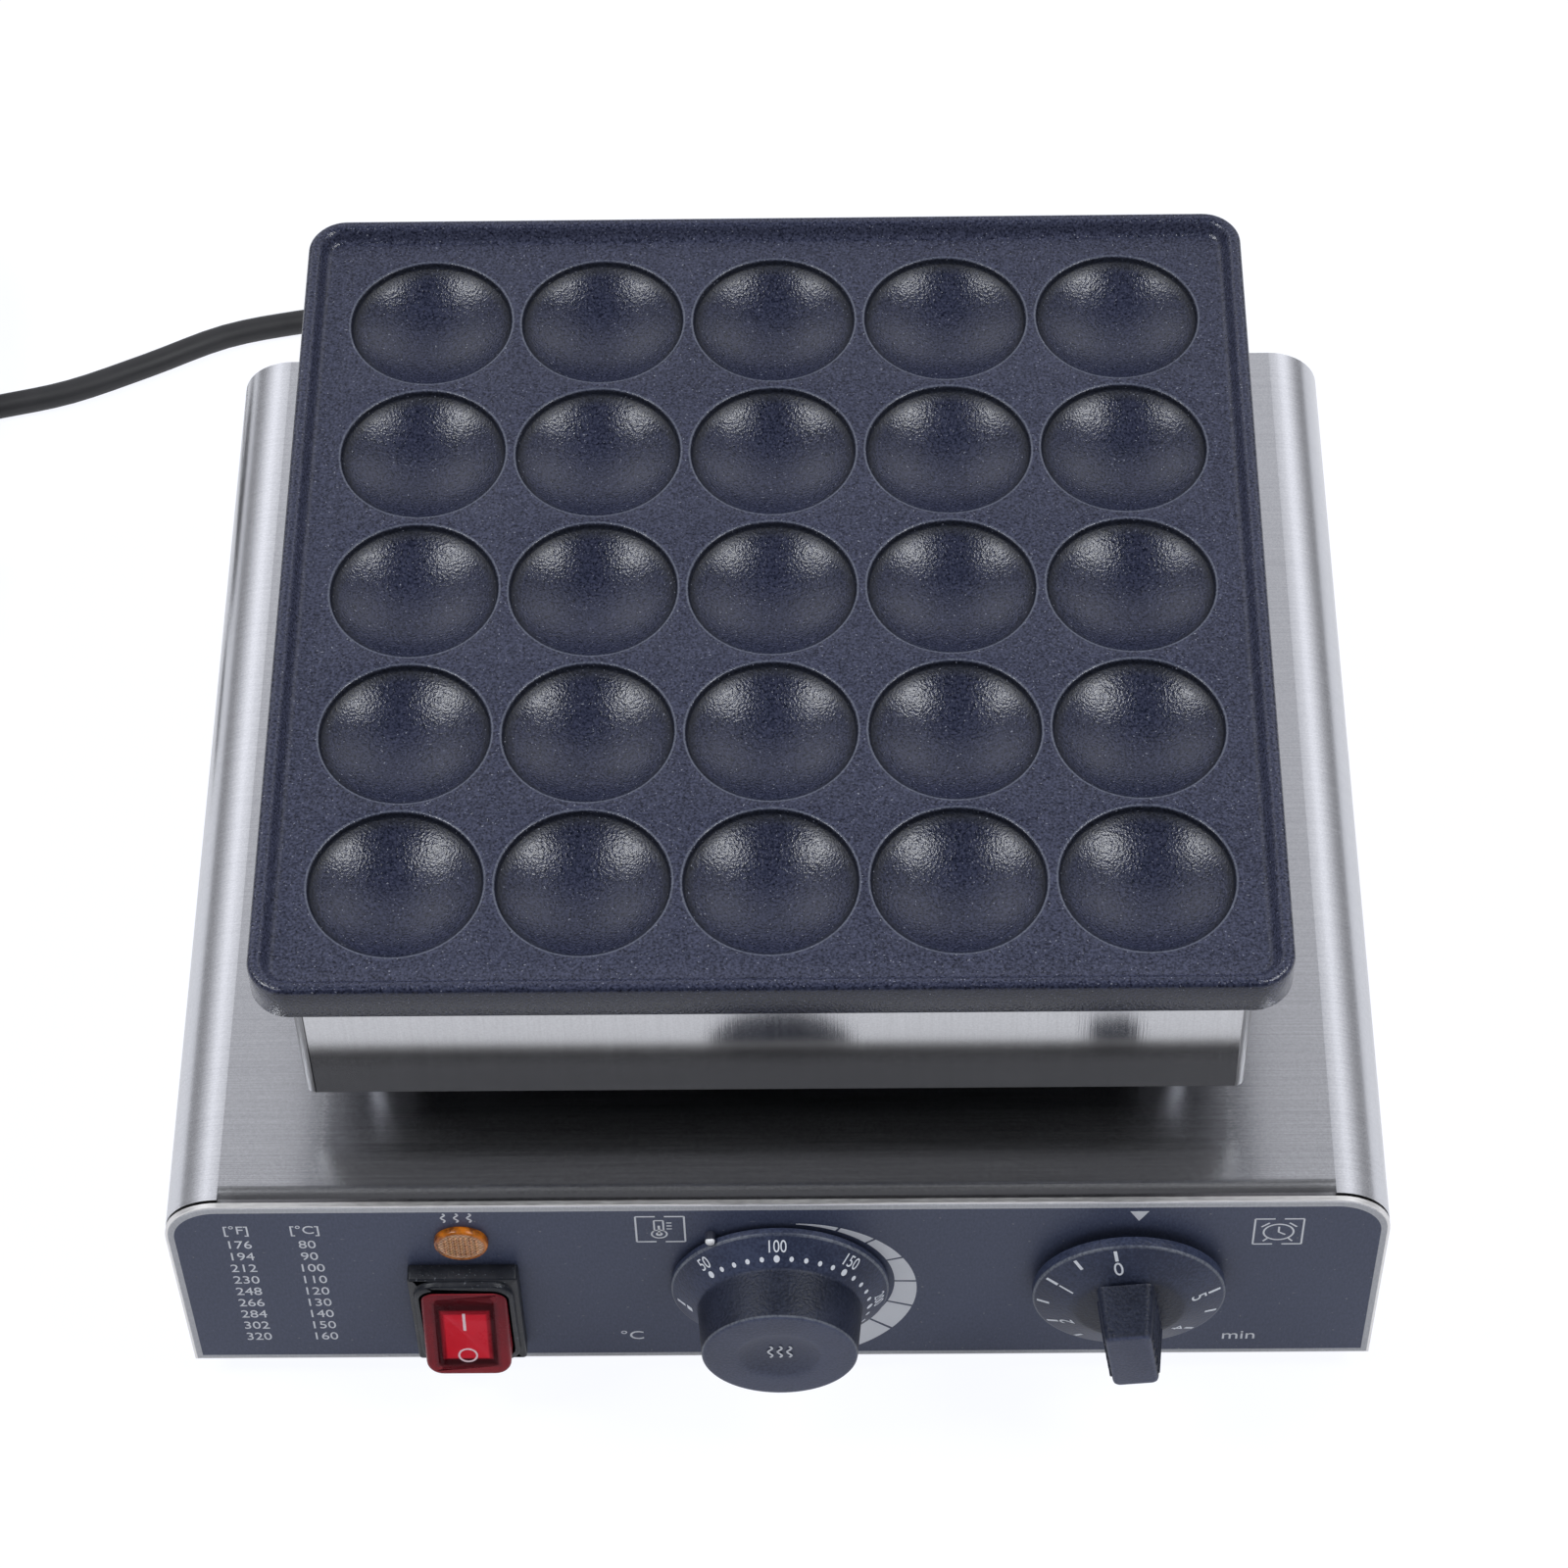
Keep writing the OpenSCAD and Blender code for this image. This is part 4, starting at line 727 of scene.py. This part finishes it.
# The top edge's rounding also glows. This is partly neon light carried through the translucent plastic and
# partly a painted highlight.
red.feed("Emission Color", red_up.spread(14.6, 15.1).blend(glow, (0.20, 0.005, 0.010)))
red.feed("Roughness", (red_cloud * 0.6 + red_fine * 0.4).spread(0, 1, 0.22, 0.36))
red.feed("Normal", red_fine.bump(0.00003, 0.5))
keep("rocker_paddle", placed(lofted(rocker_line), rocker_place), "rocker", red, ["rocker"], 60)
mark_t = 0.1
rocker_marks = [bar(-0.3, 1.1, -0.3, 7.5, 0.8, mark_t), hoop(0, -8.4, 2.4, 0.55, mark_t)]
pale_pink = moulded("rocker_marks", (0.70, 0.50, 0.55), (0.82, 0.62, 0.67), 0.4, 1500, 0.00001)
mark_place = rocker_place @ Matrix.Translation((0, 0, rocker_face))
keep("rocker_marks", placed(joined(rocker_marks), mark_place), "rocker", pale_pink)


# Pilot lamp
# A round amber lens snaps into the panel over a neon lamp.
# Its front is moulded in small pyramids inside a smooth rim.
lamp_x, lamp_z = middle_of("lamp_lens")
lens_line = [(0, 0.05), (7.1, 0.05), (7.1, 1.2), (6.95, 1.7), (6.6, 2.05), (6.25, 2.1), (6.1, 1.9), (0, 1.9)]
facet_pitch, facet_h = 1.35, 0.6
facet_foot = 1.8
facet_reach = 5.3
facet_square = Matrix.Rotation(math.radians(45), 4, "Z")
lens_parts = [spun(lens_line, 64)]
for i in range(-4, 5):
    for j in range(-4, 5):
        if math.hypot(i, j) * facet_pitch < facet_reach:
            pyramid = bmesh.new()
            bmesh.ops.create_cone(pyramid, cap_ends=True, segments=4, radius1=facet_pitch * 0.7, radius2=0.1,
                                  depth=facet_h)
            stand = Matrix.Translation((i * facet_pitch, j * facet_pitch, facet_foot + facet_h / 2))
            lens_parts.append(placed(pyramid, stand @ facet_square))
amber = Finish("amber_lens", {"Specular IOR Level": 0.3, "Subsurface Weight": 0.2,
                              "Subsurface Radius": (0.003, 0.0012, 0.0003)})
lens_middle = on_panel(lamp_x, lamp_z).translation
lens_across = amber.mm("X") - lens_middle.x
lens_up = amber.mm("Z") - lens_middle.z
from_middle = (lens_across ** 2 + lens_up ** 2) ** 0.5
amber_cloud = amber.place.noise(500).spread(0.3, 0.7)
facet_turn = math.tau / facet_pitch
# Painted highlights: a grid of light rows over the pyramids lightens the lens's face.
facet_glints = ((lens_across * facet_turn).wave() * (lens_up * facet_turn).wave()).spread(-0.6, 0.6)
amber_face_glints = (facet_glints * 0.7 + amber_cloud * 0.3).blend((0.24, 0.10, 0.045), (0.86, 0.50, 0.28))
rim_flow = amber.place.noise((420, 420, 200)).spread(0.38, 0.62)
amber_rim = rim_flow.blend((0.14, 0.036, 0.004), (0.56, 0.165, 0.012))
amber.feed("Base Color", from_middle.spread(5.6, 6.4).blend(amber_face_glints, amber_rim))
amber.feed("Roughness", amber_cloud.spread(0, 1, 0.2, 0.32))
amber.feed("Normal", amber_cloud.bump(0.00004, 0.4))
keep("lamp_facets", placed(joined(lens_parts), on_panel(lamp_x, lamp_z)), "unit", amber,
     ["lamp_lens"], 25)


# Thermostat dial
# A moulded slate-grey knob: a skirt with a printed cone of temperatures and a tall round grip.
# The front of the grip is dished. The dial is pressed on the thermostat's shaft.
def around(mesh, angle, radius, height, lean):
    """Lay flat marks on a dial's cone: X runs clockwise from an angle, Y outwards down the slope."""
    fall, level = math.sin(math.radians(lean)), math.cos(math.radians(lean))
    for vert in mesh.verts:
        x, y, z = vert.co
        reach = radius + y * level + z * fall
        turn = math.radians(angle) + x / reach
        vert.co = (reach * math.sin(turn), reach * math.cos(turn), height - y * fall + z * level)
    return mesh


def near(value, middle, reach):
    """1 where a value lies close to a middle, falling to 0 at the given reach."""
    return abs(value - middle).spread(reach * 0.5, reach, 1.0, 0.0)


def bead(radius):
    """A dot drawn out a little along the cone's slope."""
    mesh = spot(0, -0.25, radius)
    bmesh.ops.scale(mesh, vec=(1, 1.25, 1), verts=mesh.verts)
    return mesh


knob_line = [(0, 0.8), (6, 0.8), (6, 17), (17.5, 17), (19.8, 7), (26.8, 1.3), (26.8, 0.8), (28.5, 0.8),
             (28.8, 1.1), (28.8, 2.6), (28.7, 2.88), (28.45, 3.06), (22.05, 8.9), (21.8, 9.3), (21.7, 9.9),
             (20.6, 21.9), (20.5, 22.35), (20.2, 22.7), (19.75, 22.93), (19.2, 23.0), (12.2, 23.0),
             (11.4, 22.92), (10.2, 22.6), (8.4, 22.05), (6, 21.6), (3, 21.35), (0, 21.3)]
dial = Finish("dial_plastic", {"Specular IOR Level": 0.3})
dial_cloud = dial.place.noise(60).spread(0.3, 0.7)
dial_grain = dial.place.noise(1300, 1.0)
dial_tone = dial_cloud * 0.3 + dial_grain * 0.7
dial_out = face_y - dial.mm("Y")
dial_up = dial.mm("Z") - (panel_z + dial_z)
from_thermostat = dial.mm("X") - thermostat_x
from_timer = dial.mm("X") - timer_x
thermostat_r = (from_thermostat ** 2 + dial_up ** 2) ** 0.5
timer_r = (from_timer ** 2 + dial_up ** 2) ** 0.5
# Painted highlights: the front edges of the dials' rims and of the grip are lighter, most towards their left
# and right.
thermostat_edge = near(thermostat_r, 28.6, 0.45) * near(dial_out, 2.8, 0.45)
timer_edge = near(timer_r, 25.25, 0.45) * near(dial_out, 5.25, 0.45)
grip_edge = near(thermostat_r, 20.42, 0.3) * near(dial_out, 22.45, 0.35)
edge_painted_highlight = thermostat_edge * abs(from_thermostat).spread(3, 12, 0.3, 1)
edge_painted_highlight = edge_painted_highlight + timer_edge * abs(from_timer).spread(3, 12, 0.5, 1) + grip_edge * 0.8
edge_painted_highlight = edge_painted_highlight * dial_grain.spread(0.3, 0.6, 0.4, 1.0)
grain_tone = dial_tone.spread(0.35, 0.65)
dial_dark = grain_tone.blend((0.006, 0.009, 0.021), (0.021, 0.026, 0.049))
dial_disc = grain_tone.blend((0.018, 0.024, 0.052), (0.042, 0.053, 0.100))
dial_front_painted_light = grain_tone.blend((0.042, 0.050, 0.092), (0.074, 0.086, 0.145))
dial_colour = dial_out.spread(8.6, 9.8).blend(dial_disc, dial_dark)
timer_further_out = 2.3
grip_out = dial_out - from_timer.spread(-40, -39) * timer_further_out
# Painted light: the grip's front face, its dish and the front end of the timer's bar are lighter.
dish = thermostat_r.spread(11.0, 12.6, 0.75, 0.0) * dial_out.spread(20, 21)
dial_colour = grip_out.spread(22.2, 22.8).at_least(dish).blend(dial_colour, dial_front_painted_light)
dial.feed("Base Color", edge_painted_highlight.blend(dial_colour, (0.15, 0.165, 0.20)))
dial.feed("Roughness", dial_tone.spread(0.25, 0.75, 0.42, 0.56))
dial.feed("Normal", dial_grain.bump(0.00018, 0.8))
thermostat_place = on_panel(thermostat_x, dial_z)
keep("thermostat_grip", placed(spun(knob_line, 128), thermostat_place), "thermostat_dial", dial,
     ["thermostat_knob"], 40)
cone_r, cone_h, cone_lean = 24.0, 7.15, 42
cone = (cone_r, cone_h, cone_lean)
first_mark = -48
mark_step = 47
dial_marks = []
for i in range(6):
    angle = first_mark + mark_step * i
    dial_marks.append(around(bead(0.8), angle, *cone))
    dial_marks.append(around(lettered(str(50 * (i + 1)), 3.5, 0.76, 0, 2.95), angle, *cone))
    if i < 5:
        dial_marks += [around(bead(0.58), angle + mark_step * k / 5, *cone) for k in range(1, 5)]
off_angle = first_mark - mark_step
dial_marks.append(around(bar(-0.9, 0, 0.9, 0, 1.8), off_angle, *cone))
dial_marks.append(around(bar(0, 1.6, 0, 4.4, 1.0), off_angle, *cone))
dish_h = 21.62
for x in (-2.5, 0, 2.5):
    in_dish = heat_wave(x, -2.88, 0.36, 0.55, 0.6)
    dial_marks += [placed(part, Matrix.Translation((0, 0, dish_h))) for part in in_dish]
dial_ink = moulded("dial_ink", (0.66, 0.69, 0.76), (0.78, 0.81, 0.88), 0.5, 2400, 0.00001)
keep("thermostat_figures", placed(joined(dial_marks), thermostat_place), "thermostat_dial", dial_ink)
dress(zinc, "thermostat_shaft", "thermostat_screws", "thermostat_bulb")


# Timer dial
# A coned slate-grey dial with a tall tapered bar, ribbed on both flanks, to turn it by.
# Minutes run round the cone against the clock; the dial stands a little left of its mark.
timer_line = [(0, 2.2), (6, 2.2), (6, 4.9), (21.5, 4.4), (23.5, 2.2), (25.2, 2.2), (25.5, 2.5), (25.5, 5.1),
              (25.42, 5.36), (25.2, 5.5), (15.5, 9.02), (15.0, 9.25), (14.6, 9.45), (14.0, 9.58),
              (13.2, 9.6), (0, 9.6)]
bar_line = [(15.8, 26.6, 2.6, 9.0), (15.3, 26.0, 2.4, 9.6), (15.0, 25.7, 2.3, 10.2), (12.3, 25.4, 1.9, 23.7),
            (12.05, 25.2, 1.8, 24.4), (11.6, 24.8, 1.6, 24.9), (10.9, 24.1, 1.4, 25.2),
            (10.0, 23.2, 1.2, 25.3)]
rib_n, rib_pitch, rib_r = 5, 4.2, 0.75
rib_low, rib_high = Vector((7.15, 0, 11.5)), Vector((6.05, 0, 24.2))
rib_run = rib_high - rib_low
rib_middle = (rib_low + rib_high) / 2
rib_lean = Matrix.Rotation(math.atan2(rib_run.x, rib_run.z), 4, "Y")
ribs = []
for side in (-1, 1):
    mirror = Matrix.Scale(side, 4, (1, 0, 0))
    for i in range(rib_n):
        rib = bmesh.new()
        bmesh.ops.create_cone(rib, cap_ends=True, segments=16, radius1=rib_r, radius2=rib_r * 0.8,
                              depth=rib_run.length)
        rib_y = (i - (rib_n - 1) / 2) * rib_pitch
        place = Matrix.Translation((rib_middle.x, rib_y, rib_middle.z)) @ rib_lean
        ribs.append(placed(rib, mirror @ place))
timer_rest = 7.8
timer_place = on_panel(timer_x, dial_z) @ Matrix.Rotation(math.radians(timer_rest), 4, "Z")
timer_mesh = joined([spun(timer_line, 128), lofted(bar_line), *ribs])
keep("timer_grip", placed(timer_mesh, timer_place), "timer_dial", dial, ["timer_knob"], 40)
face_r, face_h, face_lean = 20.0, 7.41, 19.94
face = (face_r, face_h, face_lean)
timer_zero = -3.2
minute = 54.0
timer_marks = []
for i in range(11):
    angle = timer_zero - minute * i / 2
    timer_marks.append(around(bar(0, 1.2, 0, 4.6, 0.9), angle, *face))
    if i % 2 == 0:
        timer_marks.append(around(lettered(str(i // 2), 4.4, 0.9, 0, -1.7), angle, *face))
keep("timer_figures", placed(joined(timer_marks), timer_place), "timer_dial", dial_ink)
dress(zinc, "timer_shaft", "timer_screws", "timer_bell")


# Fittings inside the casing
# The thermostat, timer, lamp holder and terminal block are pale moulded plastic on zinc-plated fixings.
# Silicone-sleeved wires join them to the heating element.
pale_plastic = moulded("pale_plastic", (0.66, 0.66, 0.62), (0.78, 0.78, 0.74), 0.5)
sleeve = moulded("wire_sleeve", (0.38, 0.02, 0.02), (0.52, 0.035, 0.03), 0.6)
dress(pale_plastic, "thermostat_body", "timer_body", "lamp_body", "terminal_block")
dress(zinc, "lamp_clip", "thermal_cutout", "element_clamps", "clamp_bolts", "post_bolts", "post_nuts",
      "plug_blades")
dress(sleeve, "wiring")


# Posts and conduit
# Four turned steel posts and a short tube for the wires carry the baking unit over the casing.
# Their ends are chamfered; bolts pass through them.
post_line = [(3.2, 0), (7.4, 0), (8.0, 0.6), (8.0, 15.4), (7.4, 16), (3.2, 16), (3.2, 0)]
turned_steel = metal("turned_steel", (0.26, 0.26, 0.27), (0.38, 0.38, 0.39),
                     (60, 60, 3000), (20, 20, 300), 0.34, 0.46)
for i in range(1, 5):
    low, high = cad(f"post_{i}")
    post_place = Matrix.Translation(((low.x + high.x) / 2, (low.y + high.y) / 2, low.z))
    keep(f"post_turned_{i}", placed(spun(post_line, 48), post_place), "unit", turned_steel,
         [f"post_{i}"])
dress(turned_steel, "conduit")


# Baking unit
# A brushed stainless skirt, folded from one sheet with an upright seam near its left front corner,
# holds a tray with a mineral board, a bright reflector and the tube element under the plate.
skirt_low, skirt_high = cad("skirt")
skirt_steel = metal("skirt_steel", (0.46, 0.46, 0.47), (0.58, 0.58, 0.595),
                    (2600, 2600, 25), (900, 900, 9), 0.11, 0.15, 0.00003, 0.55)
seam_inset = 2.6
off_front = skirt_steel.mm("Y").spread(skirt_low.y + 2, skirt_low.y + 2.2)
off_seam = abs(skirt_steel.mm("X") - (skirt_low.x + seam_inset)).spread(0.1, 0.25).at_least(off_front)
# Painted shade: the last few millimetres at each end of the front face are darker steel, and rougher too.
fold_edge = abs(skirt_steel.mm("X")).spread(skirt_high.x - seam_inset, skirt_high.x - seam_inset + 0.4)
folded = fold_edge * (1.0 - off_front)
fold_painted_shade = folded.blend(skirt_steel.fed("Base Color"), (0.26, 0.26, 0.27))
skirt_steel.feed("Base Color", off_seam.blend((0.06, 0.06, 0.065), fold_painted_shade))
skirt_steel.feed("Roughness", skirt_steel.fed("Roughness") + folded * 0.4)
dress(skirt_steel, "skirt")
dress(rear_steel, "tray")
bright_sheet = metal("bright_sheet", (0.70, 0.70, 0.70), (0.82, 0.82, 0.82),
                     (40, 900, 40), (20, 90, 20), 0.2, 0.34)
dress(bright_sheet, "reflector")
dress(moulded("mineral_board", (0.62, 0.60, 0.54), (0.76, 0.74, 0.68), 0.9, 500, 0.0002), "insulation_board")
oxide = metal("element_oxide", (0.10, 0.10, 0.10), (0.20, 0.19, 0.18), 700, 60, 0.45, 0.6)
dress(oxide, "heating_element")


# Baking plate
# Cast aluminium with twenty-five round pans inside a raised rim; every edge is rounded by the casting.
# Its specked slate-coloured coat carries painted shade in the pans and on the wall, and a painted highlight
# on the pans' lips.
plate_low, plate_high = cad("baking_plate")
plate_y = (plate_low.y + plate_high.y) / 2
plate_half = plate_high.x
pan_n = 5
pan_pitch = 47.5
pan_depth = 9
bowl_r = 36.9
mouth_r = 21.9
rim_h = 3.9
pan_z = plate_high.z - rim_h
bowl_end = math.asin(mouth_r / bowl_r)
bowl_steps = 14
bowl = [bowl_end * i / bowl_steps for i in range(bowl_steps)]
pan_line = [(bowl_r * math.sin(angle), bowl_r * (1 - math.cos(angle)) - pan_depth) for angle in bowl]
pan_line += [(21.65, -2.0), (21.9, -1.75), (22.08, -1.2), (22.2, -0.55), (22.38, -0.2), (22.62, -0.05),
             (22.95, 0)]


def pan_cell():
    """One pan with the flat land around it, out to a square."""
    mesh = spun(pan_line, 64)
    rim = [edge for edge in mesh.edges if edge.is_boundary]
    grown = bmesh.ops.extrude_edge_only(mesh, edges=rim)["geom"]
    for vert in [part for part in grown if isinstance(part, bmesh.types.BMVert)]:
        vert.co *= pan_pitch / 2 / max(abs(vert.co.x), abs(vert.co.y))
    return mesh


cells = []
for i in range(pan_n):
    for j in range(pan_n):
        offset = Vector((i - (pan_n - 1) / 2, j - (pan_n - 1) / 2, 0)) * pan_pitch
        cells.append(placed(pan_cell(), Matrix.Translation(offset)))
plate = joined(cells)
bmesh.ops.remove_doubles(plate, verts=plate.verts, dist=0.01)
around_plate = plate.verts.layers.float.new("around_plate")
edge_loop = [edge for edge in plate.edges if edge.is_boundary]
land_half = pan_n * pan_pitch / 2
for vert in {vert for edge in edge_loop for vert in edge.verts}:
    x, y = vert.co.x, vert.co.y
    sides = [(x, y), (y, -x), (-x, -y), (-y, x)]
    side = max(range(4), key=lambda k: sides[k][0])
    vert[around_plate] = side + (sides[side][1] / land_half + 1) / 2
straight_share = 0.8
plate_corner, least_corner = 10.5, 1.5
rim_line = [(6.6, 160.2), (5.7, 160.4), (5.0, 161.0), (4.4, 162.0), (3.9, 163.1), (3.4, 163.75),
            (2.8, 164.05), (2.3, 164.1), (1.6, 164.1), (1.0, 164.0), (0.5, 163.7), (0.15, 163.2), (0, 162.6),
            (0, 153.3), (0.2, 152.8), (0.7, 152.5), (10.5, 152.5), (10.5, 147.5)]
for inset, height in rim_line:
    half = plate_half - inset
    corner = max(plate_corner - inset, least_corner)
    grown = bmesh.ops.extrude_edge_only(plate, edges=edge_loop)["geom"]
    edge_loop = [part for part in grown if isinstance(part, bmesh.types.BMEdge) and part.is_boundary]
    for vert in {vert for edge in edge_loop for vert in edge.verts}:
        side, share = divmod(vert[around_plate], 1)
        share = 2 * share - 1
        run = (half - corner) * max(-1, min(1, share / straight_share))
        bent = max(abs(share) - straight_share, 0) / (1 - straight_share)
        bend = math.radians(45) * math.copysign(bent, share)
        rim_point = Vector((half - corner + corner * math.cos(bend), run + corner * math.sin(bend)))
        rim_point.rotate(Matrix.Rotation(math.radians(90 * side), 2))
        vert.co = (*rim_point, height - pan_z)
bmesh.ops.edgeloop_fill(plate, edges=edge_loop)


def from_pan(place):
    """How far a place lies from the middle of the nearest pan, along one axis."""
    return abs((place * (1 / pan_pitch) + 0.5).fraction() - 0.5) * pan_pitch


coat = Finish("plate_coat", {"Specular IOR Level": 0.41})
speck = coat.place.noise(1500, 1.0)
mottle = coat.place.noise(500, 2.0)
cloud = coat.place.noise(30, 2.0)
flake = coat.place.noise(1900, 0.0).spread(0.79, 0.84)
tone = (speck * 0.86 + mottle * 0.06 + cloud * 0.08).spread(0.3, 0.7)
coat_colour = tone.blend((0.003, 0.005, 0.016), (0.055, 0.061, 0.106))
coat_x = coat.mm("X")
coat_y = coat.mm("Y") - plate_y
outward = abs(coat_x).at_least(abs(coat_y))
wall = outward.spread(plate_half - 1.0, plate_half - 0.3)
on_land = outward.spread(land_half - 0.4, land_half, 1.0, 0.0)
past_mouth = (from_pan(coat_x) ** 2 + from_pan(coat_y) ** 2) ** 0.5 - mouth_r
pan_bowl = on_land * past_mouth.spread(0.0, 0.3, 1.0, 0.0)
pan_foot = on_land * past_mouth.spread(-2.6, -0.2) * past_mouth.spread(0.3, 0.6, 1.0, 0.0)
pan_lip_highlight = on_land * near(past_mouth, 0.8, 0.34)
# Painted shade darkens the pans' bowls, darkest at the foot of their walls, and also darkens the outer wall.
coat_colour = pan_bowl.blend(coat_colour, tone.blend((0.001, 0.003, 0.012), (0.038, 0.043, 0.080)))
coat_colour = pan_foot.blend(coat_colour, tone.blend((0.001, 0.002, 0.006), (0.012, 0.015, 0.028)))
# Painted highlight: a light line along each pan's lip.
coat_colour = pan_lip_highlight.blend(coat_colour, tone.blend((0.050, 0.057, 0.088), (0.105, 0.115, 0.155)))
coat_colour = wall.blend(coat_colour, tone.blend((0.002, 0.003, 0.010), (0.026, 0.031, 0.062)))
coat.feed("Base Color", flake.blend(coat_colour, (0.20, 0.21, 0.26)))
coat.feed("Roughness", tone.spread(0, 1, 0.17, 0.27) + pan_foot * 0.3)
coat.feed("Normal", speck.bump(0.00018, 0.8))
keep("cast_plate", placed(plate, Matrix.Translation((0, plate_y, pan_z))), "unit", coat,
     ["baking_plate"], 60)


# Table and light
# A plain white table top, two soft lamps above the left and right, and a pale room.
table_half = 40
floor_mesh = bmesh.new()
bmesh.ops.create_grid(floor_mesh, x_segments=1, y_segments=1, size=table_half)
floor_data = bpy.data.meshes.new("table_top")
floor_mesh.to_mesh(floor_data)
floor = shown("table_top", floor_data)
table_finish = Finish("table_top", {"Base Color": (0.86, 0.86, 0.86), "Roughness": 0.7})
rays = table_finish.tree.nodes.new("ShaderNodeLightPath")
seen = sum(share * Wire(table_finish.tree, rays.outputs[f"Is {kind} Ray"])
           for kind, share in (("Camera", 0.9), ("Transmission", 0.9), ("Glossy", 0.55)))
white = seen.node("Emission", {}, {"Color": (0.96, 0.975, 1.04, 1), "Strength": 1.08})
table_look = Wire(table_finish.tree, table_finish.shader.outputs[0])
table_mix = seen.node("MixShader", {}, {0: seen, 1: table_look, 2: white})
table_finish.tree.links.new(table_mix.socket, table_finish.tree.nodes["Material Output"].inputs["Surface"])
floor_data.materials.append(table_finish.material)

room = bpy.data.worlds.new("room")
room.use_nodes = True
sky = room.node_tree.nodes["Background"]
look = Wire(room.node_tree, room.node_tree.nodes.new("ShaderNodeTexCoord").outputs["Generated"])
side_level = look.along("Y").spread(-0.5, -0.05, 0.16, 0.38)
aside = abs(look.along("X"))
back_glow = aside.spread(0.14, 0.42, 0.28, 0.98) * aside.spread(0.5, 0.8, 1.0, 0.05)
back_glow = look.along("Y").spread(0.25, 0.55) * back_glow * look.along("X").spread(-0.3, 0.3, 1.14, 1.08)
low_back = look.along("Y").spread(0.5, 0.8) * look.along("Z").spread(0.15, 0.45, 0.8, 0.0)
level = (side_level + back_glow) * (1 - low_back) * look.along("Z").spread(0.82, 0.95, 1.0, 0.28)
sky_rays = room.node_tree.nodes.new("ShaderNodeLightPath")
level = level + 2.0 * Wire(room.node_tree, sky_rays.outputs["Is Camera Ray"])
room.node_tree.links.new(level.socket, sky.inputs["Strength"])
sky.inputs["Color"].default_value = (0.97, 0.98, 1.03, 1.0)
bpy.context.scene.world = room


def soft_lamp(name, place, aim, size, power):
    """A rectangular lamp at a place, turned towards an aim."""
    lamp = bpy.data.lights.new(name, "AREA")
    lamp.shape = "RECTANGLE"
    lamp.size, lamp.size_y = size
    lamp.energy = power
    lamp.color = (0.96, 0.98, 1.0)
    made = shown(name, lamp)
    made.location = place
    made.rotation_euler = (Vector(aim) - Vector(place)).to_track_quat("-Z", "Y").to_euler()


soft_lamp("lamp_left", (-0.95, -0.2, 1.4), (0, 0, 0.1), (0.45, 0.6), 12.9)
soft_lamp("lamp_right", (0.9, -0.22, 1.4), (0, 0, 0.1), (0.45, 0.6), 13)
